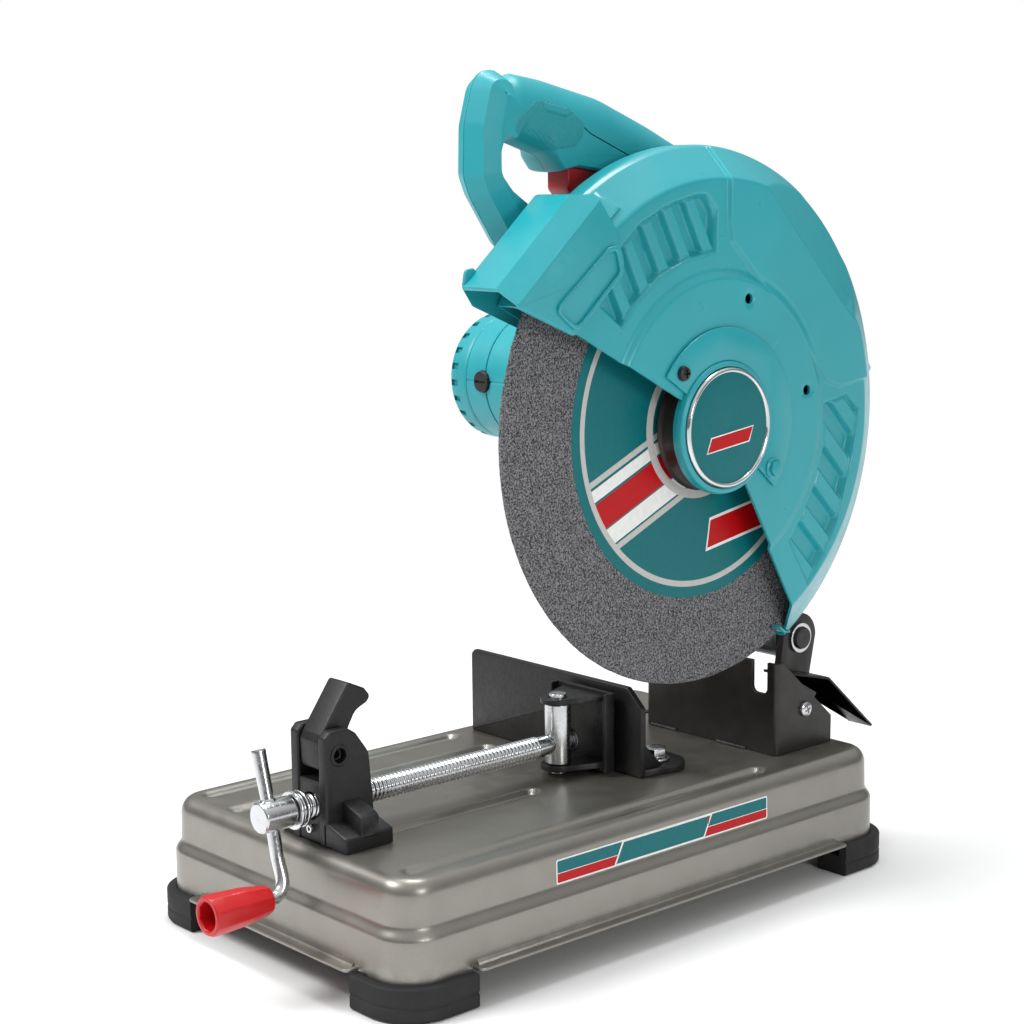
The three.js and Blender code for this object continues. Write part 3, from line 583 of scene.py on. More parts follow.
def soft_prism(axis, outline, start, end, radius, holes=(), steps=3):
    """Prism whose two rims are rounded."""
    turns = [math.pi / 2 * k / steps for k in range(steps + 1)]
    section = sorted((radius * (1 - math.cos(t)), radius * (1 - math.sin(t))) for t in turns)
    levels = [(start + d, i) for d, i in section] + [(end - d, i) for d, i in reversed(section)]
    loops = [(outline, 1.0)] + [(hole, -1.0) for hole in holes]
    verts = []
    for depth, amount in levels:
        for loop, sign in loops:
            verts += [(u, v, depth) for u, v in inset(loop, amount * sign)]
    return turn_points(axis, verts), stacked(verts, [len(loop) for loop, _ in loops], len(levels))


# ------------------------------------------------------------------ base pan

GROOVES = [(107, -203, 118), (-107, -203, 20), (-67, -210, 20), (37, -165, -30)]
GROOVE_END, GROOVE_DEPTH = 7, 3.5
LEG_X, LEG_Y, FOOT_OVER = 36, 43, 9
CORNERS = {(1, -1): "front_right", (-1, -1): "front_left", (1, 1): "rear_right", (-1, 1): "rear_left"}
FOOT_SIDE = [(0.0, 5.0), (0.8, 6.2), (2.0, 7.0), (8.5, 7.0), (9.2, 6.3)]
FOOT_SIDE += [(10.6, 6.3), (11.3, 7.0), (20.5, 7.0), (21.6, 6.5), (22.0, 5.4)]


def base_outline(offset):
    """Plan outline of the base, evenly sampled so that every offset has as many points."""
    hx, hy = max(WALL_X + offset, 0.5), WALL_Y + offset
    r = min(max(CORNER + offset, 0.4), hx)
    along_x, along_y = np.linspace(-1, 1, 110), np.linspace(-1, 1, 190)
    arc = np.linspace(0, math.pi / 2, 14)[1:-1]
    points = []
    for k, (sx, sy) in enumerate(((1, 1), (-1, 1), (-1, -1), (1, -1))):
        if k % 2 == 0:
            points += [(sx * hx, sx * t * (hy - r)) for t in along_y]
        else:
            points += [(-sy * t * (hx - r), sy * hy) for t in along_x]
        turn = arc + k * math.pi / 2
        points += list(zip(sx * (hx - r) + r * np.cos(turn), sy * (hy - r) + r * np.sin(turn)))
    return np.array(points)


def deck_height(x, y):
    """Height of the deck with its pressed grooves."""
    depth = np.zeros_like(x)
    for gx, y0, y1 in GROOVES:
        d = np.hypot(x - gx, y - np.clip(y, y0 + GROOVE_END, y1 - GROOVE_END))
        depth = np.maximum(depth, GROOVE_DEPTH * (1 - smoothstep(d, 3.2, 7.6)))
    return DECK - depth


def make_pan():
    """Pressed sheet with a stepped wall, grooves, the fence's arc slot and its bolt hole."""
    step = [(4.5 - 4.2 * smoothstep(np.array(t), 0, 1), 47.5 + 9 * t) for t in np.linspace(0.12, 1, 8)]
    crown = np.linspace(0.12, math.pi / 2, 9)
    skin = [(SKIRT, 23), (SKIRT, 36), (SKIRT, 47.5), *step, (0.2, 62), (0.0, 70)]
    skin += [(-9 + 9 * math.cos(a), DECK - 11 + 11 * math.sin(a)) for a in crown]
    rings = []
    for offset, z in skin:
        o = base_outline(offset)
        rings.append(np.column_stack([o, np.full(len(o), z)]))
    for offset in np.arange(-10.4, -126.6, -1.5):
        o = base_outline(offset)
        rings.append(np.column_stack([o, deck_height(o[:, 0], o[:, 1])]))
    verts, faces = grid(np.array(rings), wrap_v=True)
    count = len(rings[0])
    faces.append([len(verts) - count + i for i in range(count)])
    pan = piece("pan_shell", verts, faces, "base", "base_paint", sharp=50)
    thicken(pan, SHEET)
    apply_modifiers(pan)
    radius = math.hypot(LOCK_X - PIN_X, LOCK_Y - PIN_Y)
    first = math.degrees(math.atan2(LOCK_Y - PIN_Y, LOCK_X - PIN_X)) + 3
    arc_in, arc_out = (circle(radius + half, PIN_X, PIN_Y, 20, first, -51) for half in (-5.5, 5.5))
    slot = cutter("slot", prism("z", arc_out + arc_in[::-1], 70, 90))
    hole = cutter("hole", prism("z", circle(5.4, PIN_X, PIN_Y, 24), 70, 90))
    boolean(pan, [slot, hole], sharp=50)
    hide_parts("base_pan")


def corner_band(offset, sx, sy, length_x, length_y, steps=14):
    """Part of the base's outline round one corner, from the X side to the Y side."""
    hx, hy, r = WALL_X + offset, WALL_Y + offset, CORNER + offset
    turn = np.linspace(math.pi / 2, 0, steps)
    points = [(WALL_X + SKIRT - length_x, hy)]
    points += [(hx - r + r * math.cos(a), hy - r + r * math.sin(a)) for a in turn]
    points.append((hx, WALL_Y + SKIRT - length_y))
    return np.array([(sx * x, sy * y) for x, y in points])


def make_legs_and_feet():
    """Corner legs of the sheet, and the rubber feet that wrap them."""
    for (sx, sy), name in CORNERS.items():
        outer = corner_band(SKIRT - 0.08, sx, sy, LEG_X, LEG_Y)
        inner = corner_band(SKIRT - SHEET - 0.1, sx, sy, LEG_X, LEG_Y)
        loop = np.vstack([outer, inner[::-1]])
        piece("leg_" + name, *prism("z", loop, 14, 30), "base", "base_paint", bevel=0.3)
        pad = corner_band(SKIRT - 0.3, sx, sy, LEG_X - 1, LEG_Y - 1)
        corner = [(sx * (WALL_X + SKIRT - LEG_X + 1), sy * (WALL_Y + SKIRT - LEG_Y + 1))]
        floor = prism("z", np.vstack([pad, corner]), 14, 16)
        piece("pad_" + name, *floor, "base", "base_paint", bevel=0.4)
        levels = [(SKIRT + out, z) for z, out in FOOT_SIDE]
        levels += [(SKIRT + 0.3, 22.0), (SKIRT + 0.3, 13.8), (-15, 13.8), (-15, 0.0)]
        rings = []
        for offset, z in levels:
            band = corner_band(offset, sx, sy, LEG_X + FOOT_OVER, LEG_Y + FOOT_OVER)
            rings.append(np.column_stack([band, np.full(len(band), z)]))
        v, f = grid(np.array(rings), wrap_u=True)
        n = len(rings[0])
        f.append([k * n for k in range(len(rings))])
        f.append([k * n + n - 1 for k in range(len(rings))])
        piece("foot_" + name, v, f, "base", "rubber", replaces="rubber_foot_" + name, bevel=0.9)


def make_lips():
    """Flange and rolled hem along each side of the base, between the feet."""
    edge_x, edge_y = WALL_X + SKIRT, WALL_Y + SKIRT
    reach_x, reach_y = edge_x - LEG_X - FOOT_OVER, edge_y - LEG_Y - FOOT_OVER
    hem = [(-1, 23.4), (0.2, 23.4), (2.6, 24.9), (0.9, 25.7), (-0.1, 28), (-1, 28)]
    along_y, along_x = ("y", edge_x, reach_y), ("x", edge_y, reach_x)
    sides = (("right", 1, along_y), ("left", -1, along_y), ("rear", 1, along_x), ("front", -1, along_x))
    for name, side, (axis, edge, reach) in sides:
        near, far = side * (edge - 1), side * (edge + LIP)
        plan = [(near, -reach), (far, -reach), (far, reach), (near, reach)]
        if axis == "x":
            plan = [(x, y) for y, x in plan]
        shape = fillet(plan, [0, 8, 8, 0])
        slab("lip_" + name, "base", "base_paint", "z", shape, 23, 25, 0.6)
        section = [(side * (edge + out), z) for out, z in hem]
        slab("hem_" + name, "base", "base_paint", axis, section, 4 - reach, reach - 4, 0.3)


def make_sticker():
    """Blank two-band label with a white-framed panel in its middle, on the right wall."""
    z0, z1, mid, y0, y1 = 56.5, 72.5, 63.3, -98.0, 99.0

    def film(name, outline, material, lift):
        """Thin sheet that follows the lean of the wall's lower part."""
        v, f = prism("x", outline, WALL_X + lift, WALL_X + lift + 0.12)
        v = v + np.array([[0.35 * max(0.0, (70.0 - z) / 14.0), 0, 0] for z in v[:, 2]])
        piece("sticker_" + name, v, f, "base", material)

    def band(low, high, rim, radius):
        """Outline between two heights, inside the label's edge."""
        shape = [(y0 + rim, low), (y1 - rim, low), (y1 - rim, high), (y0 + rim, high)]
        return fillet(shape, radius)

    frame_line = [(-48, z0 + 0.4), (36, z0 + 0.4), (44, z1 - 0.4), (-40, z1 - 0.4)]
    panel = [(-46, z0 + 1.5), (35, z0 + 1.5), (42, z1 - 1.5), (-39, z1 - 1.5)]
    film("white", band(z0, z1, 0, 1.5), "label_white", 0.05)
    film("teal", band(mid + 0.5, z1 - 1, 1, [0, 0, 1, 1]), "label_teal", 0.15)
    film("red", band(z0 + 1, mid, 1, [1, 1, 0, 0]), "label_red", 0.15)
    film("frame", frame_line, "label_white", 0.26)
    film("panel", panel, "label_teal", 0.37)
    film("corner", [(38.6, z1 - 2.2), (41.2, z1 - 2.2), (39.8, z0 + 9)], "label_red", 0.48)


make_pan()
make_legs_and_feet()
make_lips()
make_sticker()

# ------------------------------------------------------------------ hinge bracket

BRACKET_X, BRACKET_Y = (-34, 95), (144.5, 205)


def make_bracket():
    """Welded hinge bracket with two cheeks, the hinge pin and the return spring."""
    (x0, x1), (y0, y1) = BRACKET_X, BRACKET_Y
    plan = fillet(
        [(x0, y1), (x0, y0), (x1, y0), (x1, y1)]
        + [(x1 - 3, y1), (x1 - 3, y0 + 3), (x0 + 3, y0 + 3), (x0 + 3, y1)],
        [0, 4.5, 4.5, 0, 0, 1.5, 1.5, 0],
        8,
    )
    body = piece("bracket_sheet", *prism("z", plan, FLOOR, 151), "base", "black_paint", "hinge_bracket")
    above = [(151, 151.5), (152, 150.6), (205.5, 103.5), (210, 103.5), (210, 155), (151, 155)]
    slope = cutter("slope", prism("x", above, x0 - 2, x1 + 2))
    gap = fillet([(72, 128), (86, 128), (86, 160), (72, 160)], [5, 5, 0, 0], 6)
    slot = cutter("slot", prism("y", gap, y0 - 2, y0 + 6))
    screw = cutter("screw", prism("x", circle(3.3, BOLT_Y, BOLT_Z, 24), x1 - 6, x1 + 3))
    boolean(body, [slope, slot, screw])
    soften(body, 0.5, 40, 2)
    hinge = circle(8.3, PIVOT_Y, PIVOT_Z, 40)
    cheek = [(172, FLOOR), (205, FLOOR)] + circle(18, PIVOT_Y, PIVOT_Z, 36, 0, 180)
    for name, x in (("left", -12), ("right", 60)):
        slab("cheek_" + name, "base", "black_paint", "x", cheek, x, x + 6, 0.6, holes=[hinge])
    sole = [(x0 + 1, y0 + 1), (x1 - 1, y0 + 1), (x1 - 1, y1), (x0 + 1, y1)]
    slab("bracket_floor", "base", "black_paint", "z", sole, FLOOR, FLOOR + 3, 0.5)
    beads = []
    rng = np.random.default_rng(4)
    for x in np.concatenate([np.arange(-26, -2, 1.9), np.arange(40, 66, 1.9)]):
        r = 1.9 + 0.35 * rng.random()
        beads.append(ball((x, y0 - 0.4, FLOOR + 0.5), (r, r * 0.9, r * 0.85)))
    piece("weld_beads", *merge(*beads), "base", "black_casting", sharp=80)
    pin = [(0.01, -16), (8, -16), (8, 70), (0.01, 70)]
    lathe("hinge_pin", "base", "black_paint", "x", pin, 1.0, PIVOT_Y, PIVOT_Z, replaces="hinge_shaft")
    ring = [(8.2, 66.3), (11, 66.3), (11, 67.8), (8.2, 67.8)]
    lathe("hinge_ring", "base", "zinc", "x", ring, 0.3, PIVOT_Y, PIVOT_Z, replaces="shaft_circlip")
    turn = np.linspace(0, 8 * math.pi, 240)
    coil = [np.linspace(-2, 9, 240), PIVOT_Y + 12 * np.cos(turn), PIVOT_Z + 12 * np.sin(turn)]
    piece("tension_spring", *swept(np.stack(coil, 1), 1.1, 12, 0.2), "base", "steel", "return_spring")


def ball(centre, radii, rings=10, sides=16):
    """Ellipsoid."""
    centre, radii = np.array(centre), np.array(radii)
    around = np.linspace(0, 2 * math.pi, sides, endpoint=False)
    points = []
    for a in (math.pi * i / rings for i in range(rings + 1)):
        unit = [(math.sin(a) * math.cos(b), math.sin(a) * math.sin(b), math.cos(a)) for b in around]
        points.append(centre + radii * unit)
    return grid(np.array(points), wrap_v=True)


def threaded(axis, radius, start, end, u, v, pitch, depth, sides=48, per=8):
    """Round bar with a helical V thread between two plain ends."""
    rows = int((end - start) / pitch * per)
    points = []
    for i in range(rows + 1):
        w = start + (end - start) * i / rows
        fade = min(1.0, (w - start) / pitch, (end - w) / pitch)
        row = []
        for k in range(sides):
            a = 2 * math.pi * k / sides
            phase = (w / pitch - k / sides) % 1.0
            wave = 0.5 + 0.5 * math.cos(2 * math.pi * phase)
            r = radius - depth * (1 - wave) * max(fade, 0)
            row.append((u + r * math.cos(a), v + r * math.sin(a), w))
        points.append(turn_points(axis, row))
    first, last = (turn_points(axis, [(u, v, w)] * sides) for w in (start, end))
    return grid(np.array([first, *points, last]), wrap_v=True)


def hex_bolt(name, u, v, head, shank, low, seat, top, body, replaces):
    """Bolt along Z: chamfered hexagon over a threaded shank."""
    shape = fillet(hexagon(head, u, v, 12), 0.5, 2)
    crown = [(0.01, top - 0.3), (head * 0.78, top - 0.3), (head * 0.74, top + 0.35), (0.01, top + 0.4)]
    parts = [soft_prism("z", shape, seat, top, 0.6, steps=3)]
    parts.append(turned("z", rounded_profile(crown, 0.3), u, v, 48))
    parts.append(threaded("z", shank, low, seat + 0.5, u, v, 1.5, 0.5, 32))
    piece(name, *merge(*parts), body, "zinc", replaces)


make_bracket()
hex_bolt("stop_bolt_head", STOP_X, STOP_Y, 7.5, 4, DECK + 3.6, 146, 152, "base", "depth_stop_bolt")
nut, bore = fillet(hexagon(7.5, STOP_X, STOP_Y), 0.5, 2), circle(4.3, STOP_X, STOP_Y, 24)
slab("stop_nut", "base", "zinc", "z", nut, DECK + 3.8, DECK + 10, 0.5, "depth_stop_nut", holes=[bore])

# ------------------------------------------------------------------ spark deflector


def make_deflector():
    """Bent spark deflector, and the cross-slotted screw that holds its lug."""
    sheet = fillet(
        [(160, 141), (207, 131), (258, 86), (256.7, 84.5), (206, 129), (160, 139)],
        [0.5, 6, 0.4, 0.4, 5, 0.5],
        6,
    )
    lug = fillet([(163, 139.5), (200, 131), (181, 106), (169, 106)], [0, 2, 5, 5], 6)
    body, paint = "deflector", "black_paint"
    slab("deflector_sheet", body, paint, "x", sheet, 69, 91, 0.4, "spark_deflector", steps=2)
    hole = circle(3.2, BOLT_Y, BOLT_Z, 24)
    slab("deflector_lug", body, paint, "x", lug, 89, 91, 0.4, holes=[hole])
    head = [(0.01, 86), (2.8, 86), (2.8, 95.3), (5.6, 95.3), (5.6, 96.4)]
    head += [(5.2, 97.4), (4.2, 98.1), (2.5, 98.5), (0.01, 98.6)]
    geometry = turned("x", head, BOLT_Y, BOLT_Z, 48)
    screw = piece("deflector_bolt", *geometry, "base", "zinc", "deflector_screw")
    bar = [(-0.6, -3.2), (0.6, -3.2), (0.6, 3.2), (-0.6, 3.2)]
    slots = []
    for c, s in ((0.94, 0.34), (-0.34, 0.94)):
        across = [(BOLT_Y + c * a - s * b, BOLT_Z + s * a + c * b) for a, b in bar]
        slots.append(cutter("cross", prism("x", across, 97, 99)))
    boolean(screw, slots)


make_deflector()

# ------------------------------------------------------------------ fence


def make_fence():
    """Fence plate with a foot at its pivot, a tab at its lock bolt, and two webs."""
    look = ("fence", "black_casting")
    plate = [(-110, FLOOR), (68, FLOOR), (68, 133), (54, 146), (-107, 146), (-110, 143)]
    plate = fillet(plate, [1, 3, 3, 3, 2, 2], 6)
    slab("fence_plate", *look, "y", plate, FENCE_Y, FENCE_Y + 5, 1.2, "fence", steps=4)
    apron = [(12, 40), (67, 40), (71, 60)] + circle(21, PIN_X, PIN_Y, 10, 5, 65) + [(40, 88), (12, 88)]
    apron = fillet(apron, [0] * 14 + [8, 8], 6)
    hole = circle(5.4, PIN_X, PIN_Y, 32)
    slab("fence_foot", *look, "z", apron, FLOOR, FLOOR + 5, 1.2, holes=[hole])
    tab = fillet([(-110, 40), (-84, 40), (-84, 72), (-110, 72)], [0, 0, 9, 9], 8)
    hole = circle(4.8, LOCK_X, LOCK_Y, 32)
    slab("fence_tab", *look, "z", tab, FLOOR, FLOOR + 5, 1.0, holes=[hole])
    for k, x in enumerate((16, 63)):
        web = fillet([(FENCE_Y + 3, FLOOR + 3), (62, FLOOR + 3), (FENCE_Y + 3, FLOOR + 26)], [0, 1, 1])
        slab(f"fence_web_{k}", *look, "x", web, x - 2.5, x + 2.5, 0.8)


make_fence()
hex_bolt("fence_pivot_hex", PIN_X, PIN_Y, 8.5, 5, 76, APRON + 2.2, 98, "base", "fence_pivot_bolt")
hex_bolt("fence_lock_hex", LOCK_X, LOCK_Y, 8, 4.5, 76, APRON + 0.2, 96, "fence", "fence_lock_bolt")
washer = [(5.2, APRON), (10.4, APRON), (10.4, APRON + 1.9), (5.2, APRON + 1.9)]
lathe("pivot_washer", "base", "zinc", "z", washer, 0.5, PIN_X, PIN_Y, replaces="fence_pivot_washer")

# ------------------------------------------------------------------ vise


def make_nut_block():
    """Nut block casting with its side blocks and buttress, the lever's pin and a roll pin."""
    x0, x1 = VISE_X - 18.5, VISE_X + 18.5
    cheek = fillet(
        [(-208, FLOOR), (-171, FLOOR), (-171, 100), (-174, 139)]
        + [(-184, 153), (-190, 157), (-204, 157), (-208, 153)],
        [0.5, 0.5, 4, 10, 6, 4, 3, 3],
        8,
    )
    front = fillet([(x0 + 6, FLOOR), (x1 - 6, FLOOR), (x1 - 6, 124), (x0 + 6, 124)], 0.4)
    foot = fillet(
        [(x1 - 4, FLOOR), (x1 + 19, FLOOR), (x1 + 19, 94), (x1, 99.5), (x1 - 4, 99.5)],
        [0, 1, 2, 0, 0],
        5,
    )
    wedge = fillet(
        [(x1 - 4, 92), (x1 + 19, 92), (x1 + 19, 104.5), (x1 + 16, 106.5), (x1, 111.5), (x1 - 4, 111.5)],
        [0, 0, 1.2, 1.2, 0, 0],
        5,
    )
    left = fillet(
        [(x0 + 4, FLOOR), (x0 - 12, FLOOR), (x0 - 12, 92), (x0 - 8, 95), (x0, 97), (x0 + 4, 97)],
        [0, 1, 2, 2, 0, 0],
        5,
    )
    bore = circle(4.6, LEVER_Y, LEVER_Z, 36)
    boss = circle(7.0, LEVER_Y, LEVER_Z, 40)
    made = [
        soft_prism("x", cheek, x0, x0 + 8, 1.4, [bore], 4),
        soft_prism("x", cheek, x1 - 8, x1, 1.4, [bore], 4),
        soft_prism("x", boss, x1 - 1, x1 + 0.8, 0.7, [bore]),
        soft_prism("y", front, -207, -172, 0.8, [circle(8.6, VISE_X, VISE_Z, 40)]),
        soft_prism("y", foot, -208, -171, 1.2, steps=4),
        soft_prism("y", wedge, -196, -182, 1.0, steps=4),
        soft_prism("y", left, -207, -172, 1.2, steps=4),
    ]
    piece("vise_block", *merge(*made), "base", "black_casting", "nut_block")
    pin = [(0.01, x0 - 1), (4, x0 - 1), (4, x1 - 3.4), (2.4, x1 - 3.4), (2.4, x1 - 9), (0.01, x1 - 9)]
    lathe("lever_pivot", "base", "black_casting", "x", pin, 0.7, LEVER_Y, LEVER_Z, 40, replaces="lever_pin")
    roll = [(1.2, -210.2), (2.6, -210.2), (2.6, -206), (1.2, -206)]
    lathe("roll_pin", "base", "zinc", "y", roll, 0.3, VISE_X + 2, 93.0, 32)


def make_lever():
    """Quick-release lever."""
    side = fillet(
        [(-206, 130), (-186, 130), (-183.6, 154), (-177.5, 164.5), (-168.4, 168.2), (-165.6, 172)]
        + [(-170, 177.6), (-183, 183.6), (-204.6, 153.5), (-206.8, 149)],
        [5, 3, 10, 12, 3, 4, 3, 2.5, 5, 4],
        8,
    )
    geometry = soft_prism("x", side, VISE_X - 10, VISE_X + 10, 1.3, [circle(4.4, LEVER_Y, LEVER_Z, 36)], 4)
    piece("release_handle", *geometry, "release_lever", "black_casting", "quick_release_lever")


def make_screw():
    """Lead screw with its cross-drilled head, collar, clip and crank."""
    tip = [(0.01, -18.4), (7.2, -18.4), (7.2, -7.5), (5, -6.5), (5, 17), (0.01, 17)]
    parts = [threaded("y", 7.8, -214, -18, VISE_X, VISE_Z, 3.2, 1.1, 64, 12)]
    parts.append(turned("y", rounded_profile(tip, 0.5), VISE_X, VISE_Z, 56))
    piece("screw_thread", *merge(*parts), "screw", "zinc", "lead_screw", sharp=80)
    head = [(0.01, -246), (8.9, -246), (9.9, -245), (9.9, -223.5), (9.0, -222.4), (7.6, -222), (7.6, -210)]
    head.append((0.01, -210))
    lathe("screw_head", "screw", "zinc", "y", head, 0.5, VISE_X, VISE_Z, 64)
    rings = []
    for a, b, r in ((-221.6, -219.4, 12.4), (-218.9, -216.9, 11.2), (-216.4, -214.4, 11.8)):
        ring = rounded_profile([(7.9, a), (r, a), (r, b), (7.9, b)], 0.9)
        rings.append(turned("y", ring, VISE_X, VISE_Z, 56))
    piece("screw_washers", *merge(*rings), "screw", "zinc", "screw_collar")
    clip = [(5.2, 13.4), (9, 13.4), (9, 14.8), (5.2, 14.8)]
    lathe("retaining_clip", "screw", "steel", "y", clip, 0.3, VISE_X, VISE_Z, 48, replaces="screw_clip")
    bends = [(8.4, -237, 146.5), (14.2, -237, 127), (20, -237, 107), (26, -237, 82), (31.4, -237.4, 67)]
    bends += [(GRIP_X, -243, 60.6), (GRIP_X, -252, GRIP_Z), (GRIP_X, -278, GRIP_Z)]
    path = smooth_path(bends, 9)
    radius = np.interp(path[:, 2], [60, 70, 95, 120, 140, 147], [4.3, 4.3, 4.2, 4.3, 4.7, 4.9])
    piece("crank_rod", *swept(path, radius, 28, 0.7), "screw", "zinc", "crank_bar")
    collar = smooth_path([(18.4, -237, 113), (17.2, -237, 117)], 4)
    piece("crank_peen", *swept(collar, np.linspace(6.2, 5.2, len(collar)), 28, 0.4), "screw", "zinc")


def make_grip():
    """Hollow eight-sided grip that turns on the crank's end."""
    profile = [(5.6, -250), (8.2, -249.8), (8.9, -251), (11.4, -268), (12.3, -285), (12.3, -292.6)]
    profile += [(11.7, -293.9), (9.6, -294), (8.8, -293.2), (8.6, -281), (5.6, -279)]
    profile = rounded_profile(profile, 0.6)
    sides = 120
    rings = []
    for a in (2 * math.pi * i / sides for i in range(sides)):
        face = math.cos(((a + math.pi / 8) % (math.pi / 4)) - math.pi / 8)
        row = []
        for r, d in profile:
            facet = 1 + 0.62 * (0.965 / face - 1) if r > 8.5 and d > -293 else 1.0
            row.append((GRIP_X + r * facet * math.cos(a), GRIP_Z + r * facet * math.sin(a), d))
        rings.append(turn_points("y", row))
    v, f = grid(np.array(rings), wrap_u=True, wrap_v=True)
    piece("grip_sleeve", v, f, "grip", "red_plastic", "crank_grip", sharp=24)


def make_jaw():
    """Folded jaw with two ears, on a vertical pin with the screw's bore."""
    x0, x1 = VISE_X - 28.5, VISE_X + 28.5
    plan = fillet(
        [(x0, 21.6), (x0, 31.6), (x1, 31.6), (x1, 21.6)]
        + [(x1 - 3, 21.6), (x1 - 3, 28.6), (x0 + 3, 28.6), (x0 + 3, 21.6)],
        [0.8, 3.5, 3.5, 0.8, 0.8, 1, 1, 0.8],
        6,
    )
    ear = [(VISE_X + 22, 29.5), (VISE_X - 22, 29.5)] + circle(12, VISE_X, JAW_Y, 24, 180, 180)
    hole = [circle(6.35, VISE_X, JAW_Y, 32)]
    parts = [soft_prism("z", plan, 87, 142, 0.6)]
    parts += [soft_prism("z", ear, z, z + 4, 0.6, hole) for z in (88.5, 135.5)]
    piece("jaw_channel", *merge(*parts), "jaw", "black_casting", "vise_jaw")
    profile = [(0.01, 86), (6, 86), (6, 93), (9, 93), (9, 135), (6, 135), (6, 142), (0.01, 142)]
    pin = lathe(
        "jaw_trunnion", "carriage", "zinc", "z", profile, 0.6, VISE_X, JAW_Y, 56, replaces="jaw_pin",
    )
    bore = turned("y", [(0.01, -12), (5.4, -12), (5.4, 18), (0.01, 18)], VISE_X, VISE_Z, 40)
    boolean(pin, [cutter("bore", bore)])


make_nut_block()
make_lever()
make_screw()
make_grip()
make_jaw()

# ------------------------------------------------------------------ cutting wheel


def polar(radius, degrees):
    """Point (y, z) at a radius and an angle above -Y round the spindle."""
    a = math.radians(degrees)
    return WHEEL_Y - radius * math.cos(a), WHEEL_Z + radius * math.sin(a)


def make_wheel():
    """Abrasive disc with a finely chipped edge."""
    left, right = WHEEL_X - WHEEL_T / 2, WHEEL_X + WHEEL_T / 2
    radii = list(np.linspace(20, WHEEL_R - 1.2, 30))
    profile = [(12.7, left)] + [(r, left) for r in radii]
    profile += [(WHEEL_R - 0.4, left + 0.25), (WHEEL_R, left + 0.9)]
    profile += [(WHEEL_R, right - 0.9), (WHEEL_R - 0.4, right - 0.25)]
    profile += [(r, right) for r in reversed(radii)] + [(12.7, right)]
    sides = 256
    chips = np.random.default_rng(11).random((sides, len(profile)))
    rings = []
    for i in range(sides):
        a = 2 * math.pi * i / sides
        row = []
        for k, (r, d) in enumerate(profile):
            worn_r = r - (0.35 * chips[i, k] if r > WHEEL_R - 1 else 0.0)
            row.append((WHEEL_Y + worn_r * math.cos(a), WHEEL_Z + worn_r * math.sin(a), d))
        rings.append(turn_points("x", row))
    v, f = grid(np.array(rings), wrap_u=True, wrap_v=True)
    piece("abrasive_disc", v, f, "spindle", "abrasive", "cutting_wheel", sharp=50)


def disc(name, inner, outer, x, material, thick=0.12):
    """Flat ring on the wheel's label."""
    profile = [(inner, x), (outer, x), (outer, x + thick), (inner, x + thick)]
    piece(name, *turned("x", profile, WHEEL_Y, WHEEL_Z, 160), "spindle", material, sharp=30)


def stripe(name, x, low, high, radius, material, lean=24.0, start=None, stop=None, thick=0.05, skew=0.0):
    """Band across the label, between two distances from the wheel's centre along the band's normal."""
    c, s = math.cos(math.radians(lean)), math.sin(math.radians(lean))
    rows = []
    for q in np.linspace(low, high, 16):
        reach = math.sqrt(max(radius**2 - q**2, 0.0))
        a = -reach if start is None else max(start + skew * (q - low), -reach)
        b = reach if stop is None else min(stop + skew * (q - low), reach)
        rows.append([(a, q), (b, q)])
    outline = [row[0] for row in rows] + [row[1] for row in reversed(rows)]
    flat = [(WHEEL_Y + p * c - q * s, WHEEL_Z + p * s + q * c) for p, q in outline]
    piece(name, *prism("x", flat, x, x + thick), "spindle", material)


def make_label():
    """Thin label films on the wheel: bands, stripes and a plain flag."""
    x = WHEEL_X + WHEEL_T / 2
    disc("label_band", 40, 118, x, "label_teal")
    disc("label_ring", 106.5, 110.5, x + 0.12, "label_grey", 0.08)
    disc("label_hub_ring", 44, 50, x + 0.12, "label_grey", 0.09)
    disc("label_back", 39, 117, WHEEL_X - WHEEL_T / 2 - 0.12, "label_teal")
    field = 106.5
    levels = [("grey", 10.5, 14.5, "label_grey", None), ("white", 0.5, 8.6, "label_white", 60)]
    levels += [("red", -20.0, -1.2, "label_red", 60), ("white_low", -33.0, -21.0, "label_white", 60)]
    levels += [("grey_low", -38.5, -34.4, "label_grey", 60)]
    for name, low, high, material, stop in levels:
        stripe("label_stripe_" + name, x + 0.12, low, high, field, material, stop=stop)
    flag = {"lean": 10, "skew": 0.35}
    stripe(
        "label_flag_rim", x + 0.18, -88, -66, field, "label_white", start=-8, stop=68, thick=0.06, **flag,
    )
    stripe("label_flag", x + 0.24, -86, -68, field - 1.5, "label_red", start=-6, stop=66, **flag)


def make_spindle_parts():
    """Clamping flanges and the hexagon bolt on the wheel's right side."""
    outer = [(5.6, 82.8), (12.8, 82.8), (12.8, 80.9), (38, 80.9), (38, 84), (30, 87), (5.6, 87)]
    inner = [(12.6, 70), (38, 70), (38, 77.2), (12.6, 77.2)]
    for side, profile in (("outer", outer), ("inner", inner)):
        node = side + "_flange"
        lathe("flange_" + side, "spindle", "steel", "x", profile, 0.8, WHEEL_Y, WHEEL_Z, replaces=node)
    head = soft_prism("x", fillet(hexagon(10, WHEEL_Y, WHEEL_Z), 0.5, 2), 87.2, 94, 0.7)
    shank = turned("x", [(0.01, 82.7), (5.2, 82.7), (5.2, 88), (0.01, 88)], WHEEL_Y, WHEEL_Z, 40)
    piece("clamp_hex", *merge(head, shank), "spindle", "zinc", "clamp_bolt")


make_wheel()
make_label()
make_spindle_parts()

# ------------------------------------------------------------------ guard

